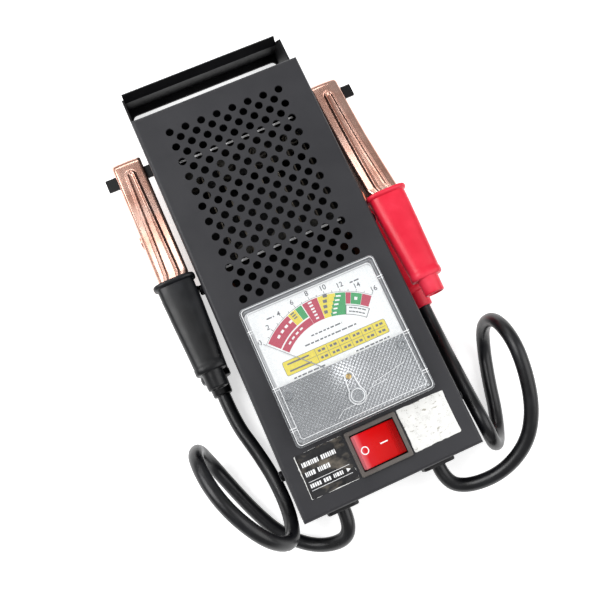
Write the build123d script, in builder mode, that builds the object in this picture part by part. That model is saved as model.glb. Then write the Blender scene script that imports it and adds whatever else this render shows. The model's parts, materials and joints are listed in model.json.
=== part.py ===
from build123d import *
import math
import os

# Hand-held battery load tester, lying on its back.  Millimetres.
# +X is across the width, +Y runs along the length towards the carrying handle and +Z is the
# outward normal of the front panel.  The origin is under the middle of the tester without its
# two clamp leads, on the surface that it lies on.

# ---------------------------------------------------------------- driving dimensions
CASE_W = 107.0            # outside width of the sheet-metal case
CASE_L = 252.0            # length of the front panel
CASE_H = 50.0             # from the back plate's outside to the front panel's face
SHEET = 1.2               # steel sheet
SEAM_Z = 32.0             # height of the butt seam between the side plates and the cover
SEAM_GAP = 0.3
HANDLE_REACH = 34.7       # how far the handle stands past the panel's top edge
GROMMET_PROUD = 3.0       # how far the lead grommets stand out of the bottom end

HOLE_PITCH = 10.0         # perforation: pitch across, rows staggered by half a pitch
HOLE_R = 2.4
HOLE_ROWS = 23
HOLES_IN_LONG_ROW = 8
FIRST_ROW = 16.0          # from the panel's top edge to the first row of holes

METER_SIZE = 82.0         # square moving-coil meter
METER_H = 9.5             # its clear cover above the panel
METER_TOP = 133.0         # from the panel's top edge to the meter's upper edge
METER_CAN_R = 31.0
METER_CAN_DEPTH = 24.0
POINTER_FROM_BOTTOM = 24.7   # from the meter's lower edge to the pointer's pivot
ADJUSTER_FROM_BOTTOM = 13.2  # and to the zero adjuster
MASK_FROM_BOTTOM = 34.5      # and to the upper edge of the plate that covers the mechanism

BEZEL_W, BEZEL_L, BEZEL_H = 30.6, 25.6, 2.2
SWITCH_DOWN = 217.1       # from the panel's top edge to the bezel's upper edge
LABEL_W, LABEL_L, LABEL_T = 28.5, 25.0, 0.2

EAR_DOWN = 23.5           # from the panel's top edge to the middle of the clamp ears
EAR_REACH = 28.6          # ear length out of the side wall
EAR_W = 8.0
EAR_Z = 26.5

LEAD_D = 8.2
GROMMET_X, GROMMET_Z = 30.0, 23.0

CLAMP_X = 67.0           # from the middle of the case to the middle of each clamp
PIVOT_DOWN = 65.0         # from the panel's top edge to the clamps' rivets
PIVOT_R = 2.5

# ---------------------------------------------------------------- derived places
HALF_W = CASE_W / 2
Y_BOTTOM = -(CASE_L + HANDLE_REACH + GROMMET_PROUD) / 2 + GROMMET_PROUD
Y_TOP = Y_BOTTOM + CASE_L
Y_MID = (Y_BOTTOM + Y_TOP) / 2
METER_Y = Y_TOP - METER_TOP - METER_SIZE / 2
SWITCH_Y = Y_TOP - SWITCH_DOWN - BEZEL_L / 2
EAR_Y = Y_TOP - EAR_DOWN
PIVOT_Y = Y_TOP - PIVOT_DOWN
SIDES = {"left": -1, "right": 1}
SCREW_DOWNS = (109.5, 224.0)

os.makedirs("parts", exist_ok=True)


def save(solid, name):
    solid.label = name
    export_step(solid, "parts/" + name + ".step")


def lengthwise(x=0.0):
    """Plane whose local x is +Y and local y is +Z, standing across the width at x."""
    return Plane(origin=(x, 0, 0), x_dir=(0, 1, 0), z_dir=(1, 0, 0))


# ---------------------------------------------------------------- front cover
SCREW_Z = (SEAM_Z + CASE_H) / 2
HALF_ROWS = HOLE_ROWS // 2
with BuildPart() as front_cover:
    with Locations((0, Y_MID, CASE_H)):
        Box(CASE_W, CASE_L, CASE_H - SEAM_Z, align=(Align.CENTER, Align.CENTER, Align.MAX))
    fillet(front_cover.edges().group_by(Axis.Z)[-1], radius=2.0)
    with Locations((0, Y_MID, CASE_H - SHEET)):
        Box(CASE_W - 2 * SHEET, CASE_L - 2 * SHEET, CASE_H - SEAM_Z,
            align=(Align.CENTER, Align.CENTER, Align.MAX), mode=Mode.SUBTRACT)
    # the top end flange reaches down to the back plate and closes the case under the handle
    with Locations((0, Y_TOP, SHEET + SEAM_GAP)):
        Box(CASE_W - 2 * SHEET - 0.4, SHEET, CASE_H - SHEET - 2.0,
            align=(Align.CENTER, Align.MAX, Align.MIN))
    first_row_y = Y_TOP - FIRST_ROW
    with BuildSketch(Plane.XY.offset(CASE_H)) as perforation:
        with Locations((0, first_row_y - HALF_ROWS * HOLE_PITCH / 2)):
            with GridLocations(HOLE_PITCH, HOLE_PITCH, HOLES_IN_LONG_ROW, HALF_ROWS + 1):
                Circle(HOLE_R)
            with GridLocations(HOLE_PITCH, HOLE_PITCH, HOLES_IN_LONG_ROW - 1, HALF_ROWS):
                Circle(HOLE_R)
    extrude(amount=-SHEET * 1.5, mode=Mode.SUBTRACT)
    with BuildSketch(Plane.XY.offset(CASE_H)) as cut_outs:
        with Locations((0, METER_Y)):
            Circle(METER_CAN_R + 0.5)
        with Locations((0, SWITCH_Y)):
            Rectangle(BEZEL_W - 2.6, BEZEL_L - 2.6)
    extrude(amount=-SHEET * 1.5, mode=Mode.SUBTRACT)
    with Locations((0, METER_Y, CASE_H)):
        with GridLocations(METER_SIZE - 14, METER_SIZE - 14, 2, 2):
            Hole(1.7, depth=3)
    with Locations(*[Plane(origin=(s * HALF_W, Y_TOP - d, SCREW_Z), z_dir=(s, 0, 0))
                     for s in SIDES.values() for d in SCREW_DOWNS]):
        Hole(1.9, depth=3)
save(front_cover.part, "front_cover")

# ---------------------------------------------------------------- base plate with the handle
SLOT_W = 102.0
SLOT_FROM, SLOT_TO = 1.5, 27.0
HANDLE_BACK, HANDLE_TOP = 33.0, 29.1      # y of the handle wall at the back and at its top
HANDLE_WALL_H = 19.1
LIP_Y, LIP_Z = 32.3, 23.6
with BuildPart() as base_plate:
    with BuildSketch(lengthwise()) as fold:
        with BuildLine() as fold_line:
            outer = Polyline((Y_BOTTOM, SEAM_Z), (Y_BOTTOM, 0), (Y_TOP + HANDLE_BACK, 0),
                             (Y_TOP + HANDLE_TOP, HANDLE_WALL_H), (Y_TOP + LIP_Y, LIP_Z))
            offset(outer, amount=SHEET, side=Side.LEFT, kind=Kind.INTERSECTION)
        make_face()
    extrude(amount=HALF_W - SHEET, both=True)
    bends = base_plate.edges().filter_by(Axis.X).filter_by(
        lambda e: e.center().Z < 0.1 and (e.center().Y < Y_BOTTOM + 0.1 or e.center().Y > Y_TOP + 29.5))
    fillet(bends, radius=1.0)
    with BuildSketch(Plane.XY) as finger_slot:
        with Locations((0, Y_TOP + (SLOT_FROM + SLOT_TO) / 2)):
            RectangleRounded(SLOT_W, SLOT_TO - SLOT_FROM, 3.0)
    extrude(amount=SHEET, mode=Mode.SUBTRACT)
    with Locations(*[Plane(origin=(s * GROMMET_X, Y_BOTTOM, GROMMET_Z), z_dir=(0, -1, 0))
                     for s in SIDES.values()]):
        Hole(6.6, depth=3)
save(base_plate.part, "base_plate")


# ---------------------------------------------------------------- side plates, each with its ear
def side_plate(side):
    """Flat cheek of the case and of the handle, with an ear and screw tongues."""
    with BuildPart() as plate:
        with BuildSketch(lengthwise(side * HALF_W)) as cheek:
            with BuildLine():
                FilletPolyline(
                    (Y_BOTTOM + 0.2, 0), (Y_TOP + HANDLE_REACH, 0), (Y_TOP + HANDLE_REACH, 9),
                    (Y_TOP + 24.0, SEAM_Z - SEAM_GAP), (Y_BOTTOM + 0.2, SEAM_Z - SEAM_GAP),
                    radius=[1.5, 3.0, 3.0, 0.8, 0.8], close=True)
            make_face()
        extrude(amount=-side * SHEET)
        with BuildSketch(Plane.XY.offset(EAR_Z - SHEET / 2)) as ear:
            with Locations((side * (HALF_W - SHEET / 2 + EAR_REACH / 2), EAR_Y)):
                Rectangle(EAR_REACH + SHEET, EAR_W)
            outer_corners = ear.vertices().filter_by(lambda v: abs(v.X) > HALF_W + 5)
            fillet(outer_corners, radius=0.6)
        extrude(amount=SHEET)
        # tongues that stand inside the cover's flange and take its screws
        for down in SCREW_DOWNS:
            with Locations((side * (HALF_W - SHEET), Y_TOP - down, 20)):
                Box(SHEET, 16, 27, align=(Align.MAX if side > 0 else Align.MIN, Align.CENTER, Align.MIN))
            with Locations(Plane(origin=(side * HALF_W, Y_TOP - down, SCREW_Z), z_dir=(side, 0, 0))):
                Hole(1.45, depth=6)
    return plate.part


for side_name, side in SIDES.items():
    save(side_plate(side), "side_plate_" + side_name)


# ---------------------------------------------------------------- cover screws
with BuildPart() as cover_screws:
    for side in SIDES.values():
        for down in SCREW_DOWNS:
            head_plane = Plane(origin=(side * (HALF_W + 0.02), Y_TOP - down, SCREW_Z), z_dir=(side, 0, 0))
            with BuildSketch(head_plane):
                Circle(3.0)
            extrude(amount=2.2)
            with BuildSketch(head_plane):
                Circle(1.4)
            extrude(amount=-6)
            with BuildSketch(head_plane.offset(2.2)):
                Rectangle(3.4, 0.7)
                Rectangle(0.7, 3.4)
            extrude(amount=-1.1, mode=Mode.SUBTRACT)
    head_rims = cover_screws.edges().filter_by(GeomType.CIRCLE).filter_by(
        lambda e: abs(abs(e.center().X) - HALF_W - 2.22) < 0.1 and e.radius > 2.5)
    fillet(head_rims, radius=1.2)
save(cover_screws.part, "cover_screws")

# ---------------------------------------------------------------- meter
WALL = 1.8
BASE_T = 2.0
METER_LOW_Y = METER_Y - METER_SIZE / 2
POINTER_Y = METER_LOW_Y + POINTER_FROM_BOTTOM
ADJUSTER_Y = METER_LOW_Y + ADJUSTER_FROM_BOTTOM
COVER_INSIDE_Z = CASE_H + METER_H - WALL
with BuildPart() as meter_cover:
    with BuildSketch(Plane.XY.offset(CASE_H + 0.02)):
        with Locations((0, METER_Y)):
            RectangleRounded(METER_SIZE, METER_SIZE, 4.5)
    extrude(amount=METER_H - 0.02)
    fillet(meter_cover.edges().group_by(Axis.Z)[-1], radius=1.4)
    with BuildSketch(Plane.XY.offset(CASE_H + 0.02)):
        with Locations((0, METER_Y)):
            RectangleRounded(METER_SIZE - 2 * WALL, METER_SIZE - 2 * WALL, 3.0)
    extrude(amount=METER_H - WALL, mode=Mode.SUBTRACT)
    with Locations((0, ADJUSTER_Y, CASE_H + METER_H)):
        Cylinder(4.4, 1.0, align=(Align.CENTER, Align.CENTER, Align.MIN))
        Hole(3.05, depth=8)
save(meter_cover.part, "meter_cover")

with BuildPart() as meter_base:
    with BuildSketch(Plane.XY.offset(CASE_H + 0.02)):
        with Locations((0, METER_Y)):
            RectangleRounded(METER_SIZE - 2 * WALL - 0.4, METER_SIZE - 2 * WALL - 0.4, 2.8)
    extrude(amount=BASE_T - 0.02)
    with Locations((0, METER_Y, CASE_H + 0.02)):
        Cylinder(METER_CAN_R, METER_CAN_DEPTH, align=(Align.CENTER, Align.CENTER, Align.MAX))
    with Locations((0, METER_Y, CASE_H + BASE_T)):
        Hole(METER_CAN_R - 2.0, depth=METER_CAN_DEPTH)
        with GridLocations(METER_SIZE - 14, METER_SIZE - 14, 2, 2):
            Hole(1.55, depth=3)
save(meter_base.part, "meter_base")

with BuildPart() as meter_studs:
    with Locations((0, METER_Y, CASE_H + BASE_T + 0.02)):
        with GridLocations(METER_SIZE - 14, METER_SIZE - 14, 2, 2):
            Cylinder(2.6, 1.2, align=(Align.CENTER, Align.CENTER, Align.MIN))
            Cylinder(1.5, 12, align=(Align.CENTER, Align.CENTER, Align.MAX))
save(meter_studs.part, "meter_studs")

with BuildPart() as meter_nuts:
    with BuildSketch(Plane.XY.offset(CASE_H - SHEET - 0.02)):
        with Locations((0, METER_Y)):
            with GridLocations(METER_SIZE - 14, METER_SIZE - 14, 2, 2):
                RegularPolygon(3.1, 6)
                Circle(1.52, mode=Mode.SUBTRACT)
    extrude(amount=-2.4)
save(meter_nuts.part, "meter_nuts")

DIAL_Z = CASE_H + 4.0
PLATE_T = 0.8
POINTER_Z = DIAL_Z + PLATE_T + 0.5
POINTER_T = 0.5
MASK_Z = POINTER_Z + POINTER_T + 0.8
MAGNET_R, MAGNET_H = 16.0, 13.0
MAGNET_Z = CASE_H + BASE_T - METER_CAN_DEPTH + 2.05
with BuildPart() as meter_movement:
    with Locations((0, METER_Y - 8, MAGNET_Z)):
        Cylinder(MAGNET_R, MAGNET_H, align=(Align.CENTER, Align.CENTER, Align.MIN))
    with Locations((0, POINTER_Y, MASK_Z - 0.1)):
        Cylinder(0.75, MASK_Z - MAGNET_Z - 1, align=(Align.CENTER, Align.CENTER, Align.MAX))
save(meter_movement.part, "meter_movement")

DIAL_W, DIAL_L = METER_SIZE - 2 * WALL - 3, 46.0
DIAL_TOP_Y = METER_Y + METER_SIZE / 2 - WALL - 2.0
with BuildPart() as meter_dial:
    with BuildSketch(Plane.XY.offset(DIAL_Z)):
        with Locations((0, DIAL_TOP_Y - DIAL_L / 2)):
            RectangleRounded(DIAL_W, DIAL_L, 3.0)
    extrude(amount=PLATE_T)
    with Locations((0, DIAL_TOP_Y - DIAL_L / 2, CASE_H + BASE_T)):
        with GridLocations(DIAL_W - 9, DIAL_L - 22, 2, 2):
            Cylinder(2.0, DIAL_Z - CASE_H - BASE_T, align=(Align.CENTER, Align.CENTER, Align.MIN))
save(meter_dial.part, "meter_dial")

# the plate over the mechanism stands on four posts, clear of the pointer's swing
MASK_W = METER_SIZE - 2 * WALL - 1
MASK_LOW_Y = METER_LOW_Y + WALL + 0.4
MASK_L = METER_LOW_Y + MASK_FROM_BOTTOM - MASK_LOW_Y
with BuildPart() as meter_mask:
    with BuildSketch(Plane.XY.offset(MASK_Z)):
        with Locations((0, MASK_LOW_Y + MASK_L / 2)):
            RectangleRounded(MASK_W, MASK_L, 2.5)
        with Locations((0, ADJUSTER_Y)):
            Circle(3.0, mode=Mode.SUBTRACT)
    extrude(amount=PLATE_T)
    with Locations((0, MASK_LOW_Y + MASK_L / 2 + 2.5, CASE_H + BASE_T)):
        with GridLocations(MASK_W - 7.4, 15, 2, 2):
            Cylinder(2.0, MASK_Z - CASE_H - BASE_T, align=(Align.CENTER, Align.CENTER, Align.MIN))
save(meter_mask.part, "meter_mask")

POINTER_L = 50.0
POINTER_REST = 135.0      # needle's direction at rest, in degrees from +X
needle_plane = Plane(origin=(0, POINTER_Y, POINTER_Z),
                     x_dir=(math.cos(math.radians(POINTER_REST)), math.sin(math.radians(POINTER_REST)), 0),
                     z_dir=(0, 0, 1))
with BuildPart() as meter_pointer:
    with BuildSketch(needle_plane):
        Circle(3.0)
        Polygon((0, -0.8), (POINTER_L, -0.35), (POINTER_L, 0.35), (0, 0.8), align=None)
        Polygon((-7, -1.2), (0, -1.0), (0, 1.0), (-7, 1.2), align=None)
        Circle(0.8, mode=Mode.SUBTRACT)
    extrude(amount=POINTER_T)
save(meter_pointer.part, "meter_pointer")

# the adjuster's eccentric pin reaches down through the plate
ADJUSTER_TOP = CASE_H + METER_H + 1.4
with BuildPart() as zero_screw:
    with BuildSketch(Plane.XY.offset(COVER_INSIDE_Z + 0.3)):
        with Locations((0, ADJUSTER_Y)):
            Circle(3.0)
    extrude(amount=ADJUSTER_TOP - COVER_INSIDE_Z - 0.3)
    with Locations((0, ADJUSTER_Y - 1.6, COVER_INSIDE_Z + 0.3)):
        Cylinder(0.6, 2.6, align=(Align.CENTER, Align.CENTER, Align.MAX))
    with BuildSketch(Plane.XY.offset(ADJUSTER_TOP)):
        with Locations((0, ADJUSTER_Y)):
            Rectangle(5.2, 0.9)
    extrude(amount=-1.0, mode=Mode.SUBTRACT)
save(zero_screw.part, "zero_screw")

# ---------------------------------------------------------------- rocker switch
ROCKER_R = 12.8
ROCKER_W = 20.2
PIN_R = 1.5
ROCKER_Z = CASE_H - 0.2
HOUSING_DEPTH = 20.0
BLADE_X = 8.0
with BuildPart() as switch_housing:
    with Locations((0, SWITCH_Y, CASE_H + 0.02)):
        Box(BEZEL_W, BEZEL_L, BEZEL_H, align=(Align.CENTER, Align.CENTER, Align.MIN))
    fillet(switch_housing.edges().filter_by(Axis.Z), radius=1.0)
    fillet(switch_housing.edges().group_by(Axis.Z)[-1], radius=0.6)
    with Locations((0, SWITCH_Y, CASE_H + 0.02)):
        Box(BEZEL_W - 3.0, BEZEL_L - 3.0, HOUSING_DEPTH, align=(Align.CENTER, Align.CENTER, Align.MAX))
    with Locations((0, SWITCH_Y, CASE_H + BEZEL_H + 1)):
        Box(2 * ROCKER_R + 0.6, ROCKER_W + 0.6, BEZEL_H + 1 + 11, mode=Mode.SUBTRACT,
            align=(Align.CENTER, Align.CENTER, Align.MAX))
    with Locations(Plane(origin=(0, SWITCH_Y, ROCKER_Z), z_dir=(0, 1, 0))):
        Cylinder(PIN_R + 0.05, ROCKER_W + 1.8, mode=Mode.SUBTRACT)
save(switch_housing.part, "switch_housing")

RAISED, PRESSED, VALLEY = 6.0, 2.0, 3.2   # heights of the rocker's face above its pivot
raised_x = -math.sqrt(ROCKER_R ** 2 - RAISED ** 2)
pressed_x = math.sqrt(ROCKER_R ** 2 - PRESSED ** 2)
low_z = -5.0
low_x = math.sqrt(ROCKER_R ** 2 - low_z ** 2)
rocker_plane = Plane(origin=(0, SWITCH_Y, ROCKER_Z), x_dir=(1, 0, 0), z_dir=(0, -1, 0))
with BuildPart() as rocker:
    with BuildSketch(rocker_plane):
        with BuildLine():
            Polyline((raised_x, RAISED), (0, VALLEY), (pressed_x, PRESSED))
            ThreePointArc((pressed_x, PRESSED), (ROCKER_R, 0), (low_x, low_z))
            Line((low_x, low_z), (-low_x, low_z))
            ThreePointArc((-low_x, low_z), (-ROCKER_R, 0), (raised_x, RAISED))
        make_face()
    extrude(amount=ROCKER_W / 2, both=True)
    with Locations(Plane(origin=(0, SWITCH_Y, ROCKER_Z), z_dir=(0, 1, 0))):
        Cylinder(PIN_R, ROCKER_W + 1.6)
    fillet(rocker.edges().group_by(Axis.Z)[-1], radius=0.5)
save(rocker.part, "rocker")

with BuildPart() as switch_blades:
    with Locations(*[(s * BLADE_X, SWITCH_Y, CASE_H - HOUSING_DEPTH) for s in SIDES.values()]):
        Box(0.8, 6.3, 9, align=(Align.CENTER, Align.CENTER, Align.MAX))
save(switch_blades.part, "switch_blades")

# ---------------------------------------------------------------- labels
for side_name, side in SIDES.items():
    with BuildPart() as label:
        with BuildSketch(Plane.XY.offset(CASE_H + 0.01)):
            with Locations((side * (BEZEL_W / 2 + 1.2 + LABEL_W / 2), SWITCH_Y + 0.2)):
                RectangleRounded(LABEL_W, LABEL_L, 2.0)
        extrude(amount=LABEL_T)
    save(label.part, "label_" + side_name)

# ---------------------------------------------------------------- load resistor
FLANGE_DOWNS = {"upper": 32.7, "lower": 103.9}   # to the outer face of each bar's upright flange
INWARDS = {"upper": -1, "lower": 1}              # along Y, from the flange towards the ribbon
BAR_W = 14.0
BAR_Z = 20.0
BAR_FLANGE_TOP = 44.0
BAR_FLANGE_L = 73.0       # shorter than the bar, to let the ribbon's ends pass
BOBBIN_IN = 8.0           # from the flange's outer face to the bobbins
BAR_INSIDE = CASE_W - 4 * SHEET - 0.4
RUNS = 8
RUN_PITCH = 11.0
BOBBIN_R, BOBBIN_H = 4.4, 12.0
RIBBON_T, RIBBON_W = 0.8, 6.0
RIBBON_Z = BAR_Z + SHEET + 3.0
run_xs = [(i - (RUNS - 1) / 2) * RUN_PITCH for i in range(RUNS)]
upper_bobbins = [(run_xs[i] + run_xs[i + 1]) / 2 for i in range(0, RUNS - 1, 2)]
lower_bobbins = [(run_xs[i] + run_xs[i + 1]) / 2 for i in range(1, RUNS - 1, 2)]
bobbin_xs = {"upper": upper_bobbins, "lower": lower_bobbins}
bobbin_ys = {name: Y_TOP - FLANGE_DOWNS[name] + INWARDS[name] * BOBBIN_IN for name in INWARDS}

for bar_name, inwards in INWARDS.items():
    outer_y = Y_TOP - FLANGE_DOWNS[bar_name]
    bar_y = outer_y + inwards * BAR_W / 2
    with BuildPart() as bar:
        with Locations((0, bar_y, BAR_Z)):
            Box(BAR_INSIDE, BAR_W, SHEET, align=(Align.CENTER, Align.CENTER, Align.MIN))
        with Locations((0, outer_y + inwards * SHEET / 2, BAR_Z)):
            Box(BAR_FLANGE_L, SHEET, BAR_FLANGE_TOP - BAR_Z,
                align=(Align.CENTER, Align.CENTER, Align.MIN))
        for side in SIDES.values():
            with Locations((side * BAR_INSIDE / 2, bar_y, BAR_Z)):
                Box(SHEET, BAR_W, BAR_Z - SHEET,
                    align=(Align.MAX if side > 0 else Align.MIN, Align.CENTER, Align.MAX))
        with Locations(*[(x, bobbin_ys[bar_name], BAR_Z + SHEET) for x in bobbin_xs[bar_name]]):
            Hole(1.6, depth=3)
    save(bar.part, "coil_bar_" + bar_name)

with BuildPart() as coil_insulators:
    for bar_name, xs in bobbin_xs.items():
        with Locations(*[(x, bobbin_ys[bar_name], BAR_Z + SHEET + 0.02) for x in xs]):
            Cylinder(BOBBIN_R + 1.2, 2.2, align=(Align.CENTER, Align.CENTER, Align.MIN))
            Cylinder(BOBBIN_R, BOBBIN_H, align=(Align.CENTER, Align.CENTER, Align.MIN))
        with Locations(*[(x, bobbin_ys[bar_name], BAR_Z + SHEET + BOBBIN_H) for x in xs]):
            Hole(1.6, depth=BOBBIN_H + 1)
save(coil_insulators.part, "coil_insulators")

with BuildPart() as coil_bolts:
    for bar_name, xs in bobbin_xs.items():
        with Locations(*[(x, bobbin_ys[bar_name], BAR_Z + SHEET + BOBBIN_H + 0.04) for x in xs]):
            Cylinder(3.0, 1.8, align=(Align.CENTER, Align.CENTER, Align.MIN))
            Cylinder(1.5, BOBBIN_H + SHEET + 3, align=(Align.CENTER, Align.CENTER, Align.MAX))
save(coil_bolts.part, "coil_bolts")

LOOP_R = RUN_PITCH / 2
upper_y = bobbin_ys["upper"]
lower_y = bobbin_ys["lower"]
with BuildPart() as load_ribbon:
    with BuildSketch(Plane.XY.offset(RIBBON_Z)):
        with Locations(*[(x, (upper_y + lower_y) / 2) for x in run_xs]):
            Rectangle(RIBBON_T, upper_y - lower_y)
        for i, x in enumerate(run_xs[:-1]):
            at_top = i % 2 == 0
            end_y = upper_y if at_top else lower_y
            turn = 1 if at_top else -1
            with BuildLine():
                CenterArc((x + LOOP_R, end_y), LOOP_R + RIBBON_T / 2, 0, turn * 180)
                CenterArc((x + LOOP_R, end_y), LOOP_R - RIBBON_T / 2, 0, turn * 180)
                Line((x - RIBBON_T / 2, end_y), (x + RIBBON_T / 2, end_y))
                Line((x + RUN_PITCH - RIBBON_T / 2, end_y), (x + RUN_PITCH + RIBBON_T / 2, end_y))
            make_face()
        with Locations((run_xs[0], lower_y - 7), (run_xs[-1], lower_y - 7)):
            Rectangle(RIBBON_T, 14)
    extrude(amount=RIBBON_W)
save(load_ribbon.part, "load_ribbon")

# copper straps: left lug - ribbon - switch - right lug
STRAP_W, STRAP_T = 8.0, 1.5
LUG_BOLT_Y = Y_BOTTOM + 26
STRAP_Z = 12.0
STRAP_X = HALF_W - 8
STRAP_TOP_Y = lower_y - 14
CROSS_Y = SWITCH_Y + BEZEL_L / 2 + 6
RISER_H = CASE_H - HOUSING_DEPTH - 4 - STRAP_Z


def strap_run(x1, y1, x2, y2):
    """One straight stretch of flat strap between two middle points, square past both ends."""
    with Locations(((x1 + x2) / 2, (y1 + y2) / 2)):
        Rectangle(abs(x2 - x1) + STRAP_W, abs(y2 - y1) + STRAP_W)


def ribbon_tab(side):
    """Upright tab that the end of the ribbon is welded to."""
    with Locations((side * (abs(run_xs[0]) + RIBBON_T / 2 + STRAP_T / 2), lower_y - 12.5, STRAP_Z)):
        Box(STRAP_T, 5, RIBBON_Z + RIBBON_W - STRAP_Z, align=(Align.CENTER, Align.CENTER, Align.MIN))


def switch_tab(blade_x):
    """Upright tab against one blade of the switch."""
    with Locations((blade_x + 0.4 + STRAP_T / 2, SWITCH_Y, STRAP_Z)):
        Box(STRAP_T, 6, RISER_H, align=(Align.CENTER, Align.CENTER, Align.MIN))


with BuildPart() as load_strap_left:
    with BuildSketch(Plane.XY.offset(STRAP_Z)):
        strap_run(run_xs[0], STRAP_TOP_Y, -STRAP_X, STRAP_TOP_Y)
        strap_run(-STRAP_X, STRAP_TOP_Y, -STRAP_X, LUG_BOLT_Y)
        strap_run(-STRAP_X, LUG_BOLT_Y, -GROMMET_X, LUG_BOLT_Y)
    extrude(amount=STRAP_T)
    ribbon_tab(-1)
    with Locations((-GROMMET_X, LUG_BOLT_Y, STRAP_Z + STRAP_T)):
        Hole(2.6, depth=3)
save(load_strap_left.part, "load_strap_left")

with BuildPart() as load_strap_right:
    with BuildSketch(Plane.XY.offset(STRAP_Z)):
        strap_run(run_xs[-1], STRAP_TOP_Y, STRAP_X, STRAP_TOP_Y)
        strap_run(STRAP_X, STRAP_TOP_Y, STRAP_X, CROSS_Y)
        strap_run(STRAP_X, CROSS_Y, -BLADE_X, CROSS_Y)
        strap_run(-BLADE_X, CROSS_Y, -BLADE_X, SWITCH_Y)
    extrude(amount=STRAP_T)
    ribbon_tab(1)
    switch_tab(-BLADE_X)
save(load_strap_right.part, "load_strap_right")

with BuildPart() as switch_strap:
    with BuildSketch(Plane.XY.offset(STRAP_Z)):
        strap_run(BLADE_X, SWITCH_Y, BLADE_X, LUG_BOLT_Y)
        strap_run(BLADE_X, LUG_BOLT_Y, GROMMET_X, LUG_BOLT_Y)
    extrude(amount=STRAP_T)
    switch_tab(BLADE_X)
    with Locations((GROMMET_X, LUG_BOLT_Y, STRAP_Z + STRAP_T)):
        Hole(2.6, depth=3)
save(switch_strap.part, "switch_strap")

with BuildPart() as lug_bolts:
    with Locations(*[(s * GROMMET_X, LUG_BOLT_Y, STRAP_Z - 0.02) for s in SIDES.values()]):
        Cylinder(5.5, STRAP_Z - SHEET - 0.1, align=(Align.CENTER, Align.CENTER, Align.MAX))
        Cylinder(2.5, 12, align=(Align.CENTER, Align.CENTER, Align.MIN))
save(lug_bolts.part, "lug_bolts")

LUG_T = 2.0
with BuildPart() as lead_lugs:
    for side in SIDES.values():
        with BuildSketch(Plane.XY.offset(STRAP_Z + STRAP_T + 0.05)):
            with Locations((side * GROMMET_X, LUG_BOLT_Y)):
                Circle(6.0)
            with Locations((side * GROMMET_X, LUG_BOLT_Y - 7)):
                Rectangle(8, 10)
            with Locations((side * GROMMET_X, LUG_BOLT_Y)):
                Circle(2.6, mode=Mode.SUBTRACT)
        extrude(amount=LUG_T)
        barrel = Plane(origin=(side * GROMMET_X, LUG_BOLT_Y - 8, GROMMET_Z), z_dir=(0, -1, 0))
        with BuildSketch(barrel):
            Circle(4.2)
        extrude(amount=8)
        with Locations((side * GROMMET_X, LUG_BOLT_Y - 10, STRAP_Z + STRAP_T + 0.05)):
            Box(6, 4, GROMMET_Z - STRAP_Z - 1.55, align=(Align.CENTER, Align.CENTER, Align.MIN))
save(lead_lugs.part, "lead_lugs")

with BuildPart() as lug_nuts:
    with BuildSketch(Plane.XY.offset(STRAP_Z + STRAP_T + 0.05 + LUG_T + 0.02)):
        with Locations(*[(s * GROMMET_X, LUG_BOLT_Y) for s in SIDES.values()]):
            RegularPolygon(4.6, 6)
            Circle(2.52, mode=Mode.SUBTRACT)
    extrude(amount=3.6)
save(lug_nuts.part, "lug_nuts")

# ---------------------------------------------------------------- grommets
FLANGE_W, FLANGE_H = 19.0, 15.0
for side_name, side in SIDES.items():
    outside = Plane(origin=(side * GROMMET_X, Y_BOTTOM - 0.02, GROMMET_Z), x_dir=(1, 0, 0), z_dir=(0, -1, 0))
    with BuildPart() as grommet:
        with BuildSketch(outside):
            RectangleRounded(FLANGE_W, FLANGE_H, 3.0)
        extrude(amount=GROMMET_PROUD - 0.02)
        fillet(grommet.faces().sort_by(Axis.Y)[0].edges(), radius=0.8)
        with BuildSketch(outside):
            Circle(6.5)
        extrude(amount=-(SHEET + 2.5))
        with BuildSketch(outside.offset(-(SHEET + 0.06))):
            Circle(7.6)
        extrude(amount=-2.0)
        with Locations(outside.offset(GROMMET_PROUD)):
            Hole(LEAD_D / 2 + 0.01, depth=12)
    save(grommet.part, "grommet_" + side_name)


# ---------------------------------------------------------------- clamps
# A clamp is drawn in its own plane: u runs from the rivet towards the jaw tip and v is the
# distance from the clamp's mid plane.  The two halves are the same shape, upper and lower.
JAW_TIP = 52.0
JAW_T = 1.2
GRIP_START, GRIP_END, COLLAR_END = -34.0, -91.0, -101.0
HALF_OPEN = 26.0
TIP_V, FLANGE_V = 3.0, 21.8
CHEEK_U = 30.0


def clamp_plane(side, upper):
    """Plane of one half: local x towards the jaw tip, local y away from the mid plane."""
    z_dir = (1, 0, 0) if upper else (-1, 0, 0)
    return Plane(origin=(side * CLAMP_X, PIVOT_Y, EAR_Z), x_dir=(0, 1, 0), z_dir=z_dir)


def jaw_top(u):
    """Distance of the jaw's outer face from the mid plane."""
    return TIP_V + (FLANGE_V - TIP_V) * (JAW_TIP - u) / (JAW_TIP - GRIP_START)


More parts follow.
